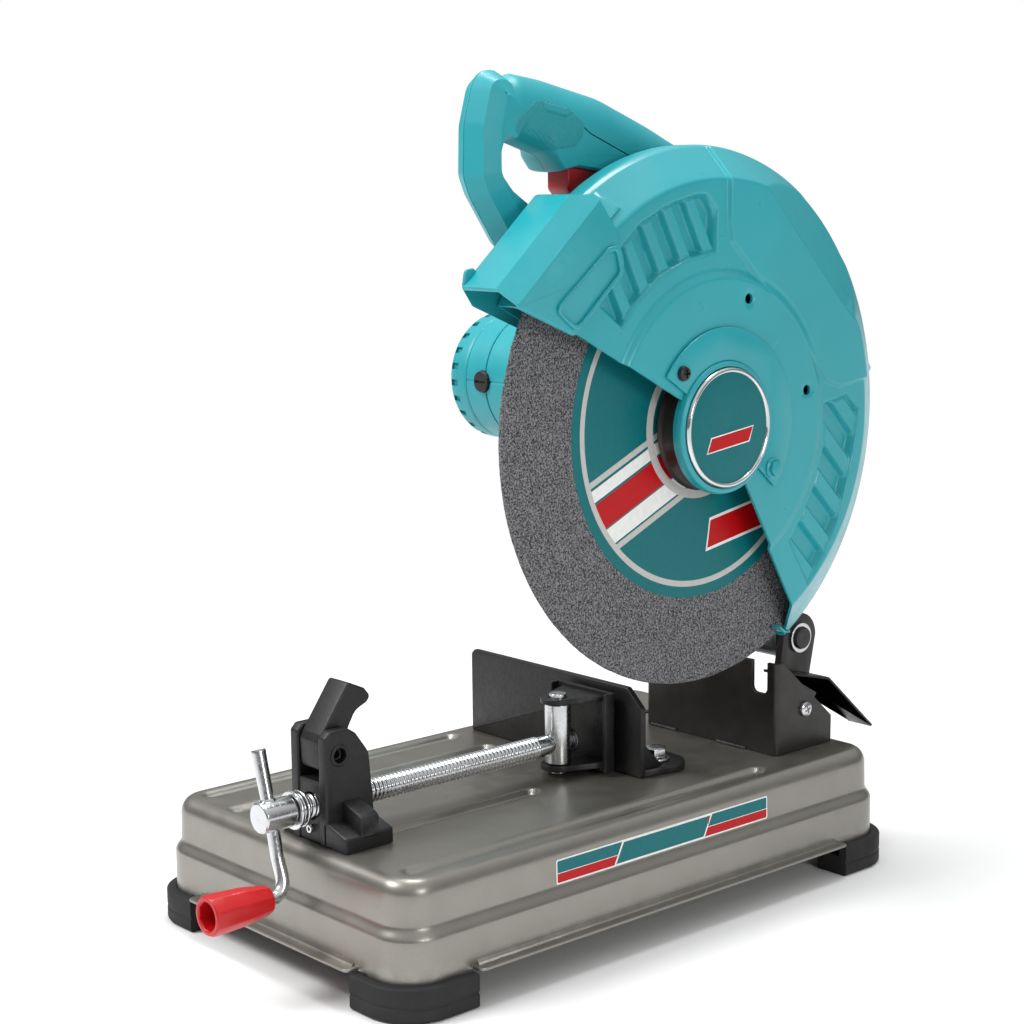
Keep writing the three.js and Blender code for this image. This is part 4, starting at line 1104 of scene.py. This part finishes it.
RIM_X = 78.0
SHOULDER = 25.0
DISC_STEP = 3.4
CHAMFER_Y, CHAMFER_Z, CHAMFER_AT = 0.717, 0.697, 142.0
NOSE_X = 105.2
SCREW_RADIUS, SCREW_HOLES = 88, (107, 168)
UPPER_RIBS = [(-31, 411), (-30, 424), (-13, 448), (4, 462), (30, 474), (56, 480), (66, 480)]
UPPER_RIBS += [(76, 470), (75, 442), (48, 438), (22, 428), (0, 411), (-12, 397)]
LOWER_RIBS = [(186, 333), (212, 338), (225, 327), (222, 306), (214, 277), (204, 247)]
LOWER_RIBS += [(190, 226), (172, 205), (151, 239), (165, 256), (177, 276), (187, 303)]
RIBBED = [  # outline, direction across the bars, pitch, start, depth of the pocket, height of the bars
    (UPPER_RIBS, (0.89, 0.46), 20.8, 209.5, 7.0, 6.0),
    (LOWER_RIBS, (0.707, 0.707), 26.6, 363, 6.5, 5.6),
]
PANEL = [(86, 530), (86, 463), (88, 449), (111, 427), (157, 382), (187, 349), (201, 344)]
PANEL += [(260, 352), (239, 361), (214, 397), (201, 405), (141, 466), (128, 480), (98, 520)]
TAB = [(-37, 467), (-17, 481), (-9, 472), (-27, 459)]


def ribs(y, z, normal, pitch, start):
    """Height share of slanted bars: steep towards the front, sloping away at the back."""
    w = (((y * normal[0] + z * normal[1]) - start) / pitch) % 1.0
    return smoothstep(w, 0.33, 0.48) * (1 - smoothstep(w, 0.8, 0.98))


def face_edge(theta):
    """Radius where the flat side turns into the rim's bevel."""
    return 163.0 - 11.0 * smoothstep(theta, 110, 165)


def guard_face(r, theta):
    """X of the guard's right side, by radius and by angle above the front."""
    a = np.radians(theta)
    dy, dz = -r * np.cos(a), r * np.sin(a)
    y, z = WHEEL_Y + dy, WHEEL_Z + dz
    edge = face_edge(theta)
    share = np.clip((r - edge) / (GUARD_R - edge), 0, 1)
    ease = 0.04
    ramp = np.where(share < ease * 2, share**2 / (4 * ease), share - ease) / (1 - ease)
    flat, drop = GUARD_RIGHT - DISC_STEP, SHOULDER - DISC_STEP
    x = flat - drop * ramp
    out = dy * CHAMFER_Y + dz * CHAMFER_Z
    cut = flat - np.clip(out - CHAMFER_AT, 0, None) * drop / (GUARD_R - CHAMFER_AT - 3)
    active = smoothstep(theta, 84, 92) * (1 - smoothstep(theta, 151, 156))
    x = np.where(active > 0, x + active * (np.minimum(x, cut) - x), x)
    x = x + DISC_STEP * (1 - smoothstep(r, 98.0, 105.0))
    for outline, normal, pitch, start, depth, rise in RIBBED:
        inside = inside_distance(outline, y, z)
        cup = smoothstep(inside, -1.0, 4.0)
        bars = ribs(y, z, normal, pitch, start)
        x = x - depth * cup + rise * cup * bars * smoothstep(inside, 0.0, 3.0)
    x = x + 3.0 * smoothstep(inside_distance(PANEL, y, z), -1.6, 1.6) * smoothstep(r, 97, 107)
    x = x + 2.0 * smoothstep(inside_distance(TAB, y, z), -0.8, 0.8)
    for at in SCREW_HOLES:
        hy, hz = polar(SCREW_RADIUS, at)
        x = x - 1.0 * (1 - smoothstep(np.hypot(y - hy, z - hz), 4.6, 5.6))
    return x


def make_guard():
    """Pressed wheel guard as one skin with a wall, and the lip at its rear end."""
    radii = [np.linspace(45, 96, 26), np.linspace(97, 160, 96), np.linspace(161, GUARD_R - 1.2, 24)]
    radii = np.concatenate(radii)
    rim = [(GUARD_R - 0.4, RIM_X - 0.9), (GUARD_R, RIM_X - 2.2)]
    rim += [(GUARD_R, x) for x in np.linspace(RIM_X - 5, GUARD_L + 2.5, 6)]
    rim += [(GUARD_R - 0.7, GUARD_L + 0.7), (GUARD_R - 2.5, GUARD_L)]
    rim += [(r, GUARD_L) for r in np.linspace(GUARD_R - 8, 60, 14)]
    rings = []
    for t in np.linspace(GUARD_FRONT, GUARD_REAR, 860):
        x = guard_face(radii, np.full_like(radii, t))
        section = list(zip(radii, x)) + rim
        rings.append([(d, *polar(r, t)) for r, d in section])
    guard = piece("guard_shell", *grid(np.array(rings)), "head", "guard_paint", sharp=45)
    thicken(guard, 2.0)
    apply_modifiers(guard)
    drills = [circle(3.6, *polar(SCREW_RADIUS, at), 28) for at in SCREW_HOLES]
    boolean(guard, [cutter("hole", prism("x", d, 90, 110)) for d in drills], sharp=45, solver="MANIFOLD")
    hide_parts("wheel_guard")
    lip = [(163, 171), (157, 171.6), (151.5, 176), (152.4, 177.4), (157.8, 173.4), (162.5, 173)]
    slab(
        "guard_tip", "head", "guard_paint", "x", fillet(lip, [0.5, 4, 0.5, 0.5, 4, 0.5], 5), 83.4, 91.5,
        0.4,
    )


def nose_bevel(size):
    """Wedge that takes the long upper edge off the nose's right side."""
    tail, head = np.array([-113.0, 425.5]), np.array([-51.0, 481.0])
    along = (head - tail) / np.linalg.norm(head - tail)
    out = np.array([-along[1], along[0]])
    verts = []
    for at in (tail - 30 * along, head + 40 * along):
        for x, rise in ((NOSE_X - size - 30, 30), (NOSE_X + 30, -size - 30), (NOSE_X + 30, 30)):
            verts.append((x, *(at + rise * out)))
    faces = [[0, 1, 2], [5, 4, 3], [0, 3, 4, 1], [1, 4, 5, 2], [2, 5, 3, 0]]
    return np.array(verts), faces


def make_nose():
    """Hollow spark hood in front of the guard, with the raised bead on its side."""
    side = fillet(
        [(-38, 481), (-51, 481), (-113, 425.5), (-104.5, 413.5), (-58, 394), (-14, 437), (-21, 458)],
        [3, 5, 2, 2, 5, 6, 5],
        8,
    )
    inner = fillet(
        [(-20, 470), (-36, 479.2), (-50.3, 479.2), (-111.4, 424.5)]
        + [(-120, 405), (-100, 380), (-56, 380), (20, 430)],
        [1, 3, 4, 1, 1, 1, 1, 1],
        6,
    )
    shell = slab("nose_shell", "head", "guard_paint", "x", side, 60, NOSE_X, 2.2, steps=5)
    hollow = cutter("hollow", prism("x", inner, 61.8, NOSE_X - 1.8))
    boolean(hollow, [cutter("inner_bevel", nose_bevel(13.2))], solver="MANIFOLD")
    boolean(shell, [cutter("bevel", nose_bevel(12.0)), hollow], sharp=25, solver="MANIFOLD")
    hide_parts("guard_nose")
    rim = [(-77, 411.5), (-30.5, 448.5), (-22, 450), (-17.5, 432), (-58, 396.6)]
    inside = [(-73.5, 411.5), (-31, 445), (-24.5, 446), (-21, 433), (-57.5, 400.5)]
    rim, inside = fillet(rim, [6, 5, 5, 6, 7], 7), fillet(inside, [4, 3, 3, 5, 6], 7)
    slab("nose_bead", "head", "guard_paint", "x", rim, 103.8, 107.6, 1.3, holes=[inside], steps=4)
    tab = fillet([(-104, 424), (-112, 426), (-110, 436), (-104, 437), (-97, 432)], [1, 1, 3, 2, 1], 5)
    slab("nose_tab", "head", "guard_paint", "x", tab, 60.2, 62.4, 0.5)


def sector(outer, inner, start, stop, steps=60):
    """Outline of a ring's part between two angles."""
    points = [polar(outer, t) for t in np.linspace(stop, start, steps)]
    return points + [polar(inner, t) for t in np.linspace(start, stop, steps)]


def make_hub():
    """Centre cover, collar, shroud and badge round the spindle, and the cover's two screws."""
    slab(
        "cover_plate", "head", "guard_paint", "x", sector(67, 44.5, 34, 222), 103.2, 105.6, 0.9,
        "centre_cover",
    )
    collar = [
        (40.6, 99.5), (44.6, 99.5), (44.8, 103.5), (44.2, 106.4), (42.6, 107.6), (41, 107.6), (40.6, 107),
    ]
    shroud = [
        (38.5, 84.2), (43.4, 84.2), (44.2, 85.2), (43.4, 86.4), (42.6, 88), (42.2, 99.2), (40.4, 99.2),
    ]
    shroud.append((40.4, 86))
    bezel = [(36.6, 106.2), (40.3, 106.2), (40.3, 108.4), (39.4, 109.6), (38.2, 109.9), (37.2, 109.3)]
    bezel.append((36.8, 108.3))
    badge = [(0.01, 105.9), (37.4, 105.9), (37.4, 108.4), (20, 108.7), (0.01, 108.75)]
    for name, profile, radius, material, node in (
        ("hub_collar", collar, 0.5, "guard_paint", None),
        ("hub_shroud", shroud, 0.4, "inner_brown", None),
        ("badge_ring", bezel, 0.4, "chrome", None),
        ("badge_disc", badge, 0.2, "label_teal", "hub_cap"),
    ):
        lathe(name, "head", material, "x", profile, radius, WHEEL_Y, WHEEL_Z, 128, replaces=node)
    y, z, rise, tilt = WHEEL_Y + 1, WHEEL_Z - 8, 2.6, 2.0
    for name, grow, top, material in (
        ("badge_bar_rim", 0.8, 108.9, "label_white"),
        ("badge_bar", 0.0, 108.98, "label_red"),
    ):
        w, h = 20 + grow, 4.6 + grow
        bar = [(y - w - tilt, z - h - rise), (y + w - tilt, z - h + rise)]
        bar += [(y + w + tilt, z + h + rise), (y - w + tilt, z + h - rise)]
        piece(name, *prism("x", bar, 108.5, top), "head", material)
    y, z = polar(57, 43)
    head = [
        (0.01, 97), (2.3, 97), (2.3, 105.7), (5, 105.7), (5, 107), (4.5, 108.6), (3, 109.5), (0.01, 109.6),
    ]
    screw = piece(
        "cover_cross_screw", *turned("x", head, y, z, 48), "head", "black_paint", "cover_screw_front",
    )
    slots = []
    for a, b in ((0.6, 3), (3, 0.6)):
        shape = [(y - a, z - b), (y + a, z - b), (y + a, z + b), (y - a, z + b)]
        slots.append(cutter("cross", prism("x", shape, 107.6, 111)))
    boolean(screw, slots)
    y, z = polar(57, 214)
    hexed = soft_prism("x", fillet(hexagon(5.8, y, z, 10), 0.4, 2), 106.5, 110.4, 0.6)
    washer = [(0.01, 105.7), (7.2, 105.7), (7, 106.8), (5.6, 107.6), (0.01, 107.6)]
    flange = turned("x", rounded_profile(washer, 0.3), y, z, 56)
    shank = turned("x", [(0.01, 97), (2.3, 97), (2.3, 106), (0.01, 106)], y, z, 24)
    piece("cover_hex_screw", *merge(hexed, flange, shank), "head", "guard_paint", "cover_screw_rear")


make_guard()
make_nose()
make_hub()

# ------------------------------------------------------------------ handle

BAR_PAD = [
    (-36, 541), (-4, 534), (5, 526), (4, 518), (-3, 511), (-24, 508), (-44, 514), (-57, 520), (-54, 528),
]
FACETS = [(0.0, 16.4), (0.7, 15.4), (3.1, 11.4), (5.8, 6.4), (10.0, 4.2), (17.3, 0.3), (17.8, 0.5)]
BARREL = [(0.2, 20.0), (1.7, 13.9), (4.2, 8.6), (8.5, 3.6), (12.5, 1.3), (17.3, 0.05), (17.8, 0.3)]


def make_handle():
    """Two mouldings of the D-handle, hollowed for the switch, each with its grip pad."""
    outer = fillet(
        [(-73, 561), (-83, 525), (-84, 492), (-78, 478), (-56, 446), (5, 394.5), (140, 394.5)]
        + [(140, 480), (118, 503), (78, 524), (28, 543), (-20, 553.5)],
        [18, 24, 18, 24, 24, 8, 8, 22, 24, 60, 80, 60],
        10,
    )
    window = fillet(
        [(-62, 518), (-22, 505.5), (-13, 494.5), (0, 497), (34, 493), (60, 486), (75, 468), (66, 448)]
        + [(15, 444), (-23, 462), (-57, 484), (-66, 494), (-66, 508)],
        [6, 8, 4, 4, 6, 10, 14, 14, 20, 16, 12, 10, 8],
        10,
    )
    for name, node in (("left", "handle_left"), ("right", "handle_right")):
        v, f = handle_half(outer, window, name)
        half = piece("grip_shell_" + name, v, f, "head", "teal_plastic", sharp=24)
        tools = [cutter("well", box(HANDLE_X - 11, HANDLE_X + 13, -6, 38, 480, 530))]
        if name == "left":
            tools.append(cutter("bore", prism("x", circle(6.2, LOCK_PIN_Y, LOCK_PIN_Z, 32), 9, 20)))
        else:
            seam = [(4, 523), (10, 519), (60, 499), (60, 499.7), (10.4, 519.8), (4.4, 523.8)]
            tools.append(cutter("seam", prism("x", seam, 42.5, 52)))
        boolean(half, tools, sharp=24, solver="MANIFOLD")
        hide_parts(node)
        make_grip_inlay(name, BVHTree.FromPolygons([Vector(p) for p in v], f))


def handle_half(outer, window, side):
    """One moulding of the handle: a faceted post below, a barrel-shaped bar above."""
    sign = -1 if side == "left" else 1
    loops = [dense(outer, 3.0), dense(window, 3.0)]
    steps = [inset(loops[0], 1.0) - loops[0], inset(loops[1], -1.0) - loops[1]]
    y, z = loops[0][:, 0], loops[0][:, 1]
    loops[0][:, 1] = z - np.where(z > 540, 3.0 * np.exp(-(((y + 51) / 3.2) ** 2)), 0.0)
    barrel = [bar_share(loop) for loop in loops]
    y, z = loops[1][:, 0], loops[1][:, 1]
    lug = smoothstep(y, -28, -20) * (1 - smoothstep(y, 36, 44)) * (z > 480)
    foot = smoothstep(loops[0][:, 0], -40, -5) * (1 - barrel[0])
    reach = [1 - 0.65 * foot, (0.07 + 0.7 * barrel[1]) * (1 - 0.85 * lug)]
    verts = []
    for (depth_a, in_a), (depth_b, in_b) in zip(FACETS, BARREL):
        for loop, step, share, scale in zip(loops, steps, barrel, reach):
            moved = loop + step * ((in_a + (in_b - in_a) * share) * scale)[:, None]
            depth = depth_a + (depth_b - depth_a) * share
            verts += [(u, v, HANDLE_X + sign * (18 - d)) for (u, v), d in zip(moved, depth)]
    return turn_points("x", verts), stacked(verts, [len(loop) for loop in loops], len(FACETS))


def dense(loop, step):
    """Closed outline with its long edges divided."""
    p = np.asarray(loop, float)
    points = []
    for a, b in zip(p, np.roll(p, -1, 0)):
        count = max(1, int(np.linalg.norm(b - a) / step))
        points += [a + (b - a) * k / count for k in range(count)]
    return np.array(points)


def bar_share(loop):
    """1 along the top bar, 0 in the front post and the foot."""
    y, z = loop[:, 0], loop[:, 1]
    return smoothstep(y, -54, -49) * (1 - smoothstep(y, 60, 110)) * (z > 484)


def make_grip_inlay(side, surface):
    """Raised diamond-textured pad on one side of the top bar, with a small blank badge."""
    shape = fillet(BAR_PAD, 3, 4)
    badge = fillet([(-33, 540), (-9, 535.5), (-7, 531.5), (-12, 530), (-29, 533.5)], 1.2, 3)
    sign = -1 if side == "left" else 1
    uu, ww = np.meshgrid(np.arange(-58, 7, 0.6), np.arange(505, 543, 0.6), indexing="ij")
    inside = inside_distance(shape, uu, ww)
    off = inside_distance(badge, uu, ww)
    wave = np.abs(np.sin((uu * 0.75 + ww) * 1.15)) * np.abs(np.sin((uu * 0.75 - ww) * 1.15))
    lift = 1.1 * smoothstep(inside, 0.0, 1.2) * (0.35 + 0.65 * wave)
    lift = np.where(off > -0.6, 1.1 * smoothstep(np.abs(off), 0.0, 0.7), lift)
    index = -np.ones(uu.shape, int)
    verts, faces = [], []
    for i, j in zip(*np.nonzero(inside > -0.7)):
        start = Vector((HANDLE_X + 60 * sign, uu[i, j], ww[i, j]))
        hit = surface.ray_cast(start, Vector((-sign, 0, 0)))[0]
        if hit:
            index[i, j] = len(verts)
            verts.append((hit.x + sign * (lift[i, j] - 0.25), uu[i, j], ww[i, j]))
    for i, j in np.ndindex(uu.shape[0] - 1, uu.shape[1] - 1):
        quad = [index[i, j], index[i + 1, j], index[i + 1, j + 1], index[i, j + 1]]
        if min(quad) >= 0:
            faces.append(quad)
    pad = piece("grip_inlay_" + side, verts, faces, "head", "grip_plastic", sharp=60)
    thicken(pad, 1.6)


make_handle()
switch_end = fillet([(24, 509), (42, 509), (42, 528), (24, 528)], 1)
slab("switch_body", "head", "black_plastic", "y", switch_end, -4, 36, 0.8, "switch")
trigger_side = fillet(
    [(-3, 502), (-3, 484), (3, 477.5), (14, 479.5), (27, 477), (30, 481), (30, 502)],
    [1, 4, 5, 14, 3, 3, 1],
    8,
)
slab("trigger_blade", "trigger", "red_plastic", "x", trigger_side, 20, 40, 1.3, "trigger", steps=4)
button = [(0.01, 8.5), (5.7, 8.5), (5.7, 19.5), (0.01, 19.5)]
lathe("lock_pin", "lock_button", "black_plastic", "x", button, 1.4, LOCK_PIN_Y, LOCK_PIN_Z, 48, "lock_button")

# ------------------------------------------------------------------ motor and head casting


def make_motor():
    """Ribbed motor shell with brush plugs, and its vented end cap."""
    profile = [(14.6, 5.5), (14.6, 2.5), (45, 2.0), (45, -139.5), (47.6, -139.9), (48, -139.2)]
    for x in (-118, -92, -30):
        profile += [(MOTOR_R - depth, x + at) for depth, at in ((0, -0.8), (0.9, -0.4), (0.9, 0.4), (0, 0.8))]
    profile += [(48, -8), (49.2, -6), (49.2, 4.8), (48.6, 5.5)]
    sides = 240
    rings = []
    for a in (2 * math.pi * i / sides for i in range(sides)):
        seam = min(abs((a / math.pi - k + 1) % 2 - 1) for k in (0, 1)) * 180
        rib = abs(((math.degrees(a) + 22.5) % 45) - 22.5)
        dip = 0.9 * (1 - smoothstep(seam * 0.84, 0.35, 0.9))
        ridge = 1.3 * (1 - smoothstep(rib, 5.0, 7.5))
        row = []
        for r, x in profile:
            lift = -dip if r > 46 else 0.0
            if r > 46 and -88 < x < -34:
                lift += ridge
            row.append((MOTOR_Y + (r + lift) * math.cos(a), MOTOR_Z + (r + lift) * math.sin(a), x))
        rings.append(turn_points("x", row))
    v, f = grid(np.array(rings), wrap_u=True, wrap_v=True)
    body = piece("motor_shell", v, f, "head", "teal_plastic", "motor_housing", sharp=28)
    through = [(0.01, MOTOR_Y - 60), (8.3, MOTOR_Y - 60), (8.3, MOTOR_Y + 60), (0.01, MOTOR_Y + 60)]
    boolean(body, [cutter("brushes", turned("y", through, BRUSH_X, MOTOR_Z, 40))], sharp=28)
    cap = [(0.01, -164), (37, -164), (41.5, -162.8), (45.5, -160.2), (47.6, -156.5), (48, -152), (48, -143)]
    cap += [
        (47.4, -140.4), (41.5, -140.2), (41.5, -152), (38, -156), (11.3, -156), (11.3, -161), (0.01, -161),
    ]
    geometry = turned("x", rounded_profile(cap, 0.8), MOTOR_Y, MOTOR_Z, 160)
    end = piece("motor_cap", *geometry, "head", "teal_plastic", "motor_end_cap", sharp=28)
    vent = fillet([(27, -1.7), (39.5, -2.2), (39.5, 2.2), (27, 1.7)], 1.4, 4)
    notch = [(44.6, -2.4), (52, -2.4), (52, 2.4), (44.6, 2.4)]
    slots = []
    for i in range(24):
        a = 2 * math.pi * i / 24 + 0.06
        c, s = math.cos(a), math.sin(a)
        for shape, start in ((vent, -166), (notch, -158.5)):
            outline = [(MOTOR_Y + r * c - t * s, MOTOR_Z + r * s + t * c) for r, t in shape]
            slots.append(cutter("slot", prism("x", outline, start, -150)))
    boolean(end, slots, sharp=28)
    for name, side in (("front", -1), ("rear", 1)):
        lo, hi = sorted((MOTOR_Y + side * 40, MOTOR_Y + side * 50.4))
        profile = [(0.01, lo), (7.9, lo), (7.9, hi), (0.01, hi)]
        where = ("y", profile, 1.0, BRUSH_X, MOTOR_Z, 48)
        plug = lathe("brush_plug_" + name, "head", "black_plastic", *where, replaces="brush_cap_" + name)
        bar = [(BRUSH_X + u, MOTOR_Z + v) for u, v in ((-5.5, -0.8), (5.5, -0.8), (5.5, 0.8), (-5.5, 0.8))]
        face = sorted((MOTOR_Y + side * 49, MOTOR_Y + side * 52))
        boolean(plug, [cutter("slot", prism("y", bar, *face))])


def make_cable():
    """Ribbed strain relief behind the handle, and the start of the power cable."""
    ribs_at = [(0.01, 140.5), (9, 140.5), (9, 144)]
    for k in range(9):
        y = 146 + k * 3.4
        r = 8.6 - k * 0.26
        ribs_at += [(r, y), (r, y + 1.8), (r - 1.2, y + 2.2), (r - 1.2, y + 3.0)]
    ribs_at += [(5.6, 178), (0.01, 178)]
    where = ("y", ribs_at, 0.4, HANDLE_X, CORD_Z, 56)
    lathe("strain_relief", "head", "black_plastic", *where, replaces="cord_guard")
    bends = ((176.5, CORD_Z), (200, 422), (222, 404), (230, 370))
    path = smooth_path([(HANDLE_X, y, z) for y, z in bends], 12)
    piece("cord", *swept(path, 4, 28, 1.0), "head", "rubber", "power_cable")


make_motor()
make_cable()

# ------------------------------------------------------------------ carried-over CAD nodes

KEPT = {
    "gear_case": ("aluminium", 1.4),
    "head_arm": ("aluminium", 1.4),
    "spindle": ("steel", 0.3),
    "drive_gear": ("steel", 0.0),
    "armature": ("copper", 0.0),
    "stator": ("steel", 0.4),
    "carbon_brush_front": ("black_plastic", 0.3),
    "carbon_brush_rear": ("black_plastic", 0.3),
    "spindle_bearing_outer": ("steel", 0.4),
    "armature_bearing_front": ("steel", 0.4),
    "armature_bearing_rear": ("steel", 0.4),
    "spindle_lock_button": ("black_plastic", 0.8),
}
for node, (material, width) in KEPT.items():
    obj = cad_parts[node]
    obj.data.materials.clear()
    obj.data.materials.append(M[material])
    if width:
        soften(obj, width, 32)

# ------------------------------------------------------------------ stage

bpy.ops.mesh.primitive_plane_add(size=60, location=(0, 0, 0))
floor = bpy.context.object
floor.name = "floor"
floor_paint = Nodes("floor")
floor_paint.set(Base_Color=(0.86, 0.86, 0.86, 1), Roughness=0.75)
reach = floor_paint.add("ShaderNodeVectorMath", operation="LENGTH")
floor_paint.link(floor_paint.place, reach.inputs[0])
glow = floor_paint.add("ShaderNodeEmission")
sweep = floor_paint.add("ShaderNodeMixShader")
floor_paint.link(floor_paint.remap(reach.outputs["Value"], 0.45, 1.5, 0.0, 1.0), sweep.inputs[0])
floor_paint.link(floor_paint.bsdf.outputs[0], sweep.inputs[1])
floor_paint.link(glow.outputs[0], sweep.inputs[2])
floor_paint.link(sweep.outputs[0], floor_paint.out.inputs[0])
floor.data.materials.append(floor_paint.material)

world = bpy.data.worlds.new("studio")
bpy.context.scene.world = world
world.use_nodes = True
sky = world.node_tree
ray = sky.nodes.new("ShaderNodeLightPath")
split = sky.nodes.new("ShaderNodeSeparateXYZ")
place = sky.nodes.new("ShaderNodeTexCoord")
ramp = sky.nodes.new("ShaderNodeValToRGB")
blend = sky.nodes.new("ShaderNodeMix")
blend.data_type = "RGBA"
height = sky.nodes.new("ShaderNodeMapRange")
height.inputs["From Min"].default_value, height.inputs["From Max"].default_value = -1, 1
back = sky.nodes["Background"]
for stop, value in ((0.42, 0.22), (0.53, 0.1), (0.66, 0.32), (0.9, 0.85)):
    element = ramp.color_ramp.elements.new(stop)
    element.color = (value, value, value, 1)
for index, value in ((0, 0.22), (-1, 0.85)):
    ramp.color_ramp.elements[index].color = (value, value, value, 1)
sky.links.new(place.outputs["Generated"], split.inputs[0])
sky.links.new(split.outputs["Z"], height.inputs["Value"])
sky.links.new(height.outputs[0], ramp.inputs[0])
sky.links.new(ray.outputs["Is Camera Ray"], blend.inputs["Factor"])
sky.links.new(ramp.outputs[0], blend.inputs[6])
blend.inputs[7].default_value = (1, 1, 1, 1)
sky.links.new(blend.outputs[2], back.inputs[0])
back.inputs[1].default_value = 1.0


def lamp(name, at, target, size, power):
    """Soft rectangular light aimed at a point, in metres and watts."""
    data = bpy.data.lights.new(name, "AREA")
    data.shape, data.size, data.energy = "RECTANGLE", size, power
    data.size_y = size * 0.6
    obj = bpy.data.objects.new(name, data)
    bpy.context.scene.collection.objects.link(obj)
    obj.location = at
    obj.rotation_mode = "QUATERNION"
    obj.rotation_quaternion = (Vector(target) - Vector(at)).to_track_quat("-Z", "Y")


CENTRE = (0.03, 0.03, 0.25)
lamp("key", (-0.8, -1.4, 1.8), CENTRE, 0.9, 36)
lamp("side", (2.0, -0.2, 0.8), CENTRE, 0.7, 9)
lamp("top", (-0.1, 0.3, 2.2), CENTRE, 1.0, 26)

CAM = (1027.9, -930.2, 491.8)
AZIMUTH, ELEVATION, ROLL, FOCAL = 48.443, 9.247, -0.580, 72.26
az, el, roll = (math.radians(v) for v in (AZIMUTH, ELEVATION, ROLL))
away = Vector((math.sin(az) * math.cos(el), -math.cos(az) * math.cos(el), math.sin(el)))
right = Vector((math.cos(az), math.sin(az), 0))
up = away.cross(right)
right, up = math.cos(roll) * right + math.sin(roll) * up, -math.sin(roll) * right + math.cos(roll) * up
camera = bpy.data.objects.new("camera", bpy.data.cameras.new("camera"))
bpy.context.scene.collection.objects.link(camera)
camera.data.lens, camera.data.sensor_width = FOCAL, 36
camera.data.clip_end = 50
spot = Vector(CAM) * MM + Vector((BASE_X, BASE_Y, 0))
axes = Matrix((right, up, away)).transposed()
camera.matrix_world = Matrix.Translation(spot) @ axes.to_4x4()
bpy.context.scene.camera = camera
bpy.context.scene.view_settings.view_transform = "Standard"
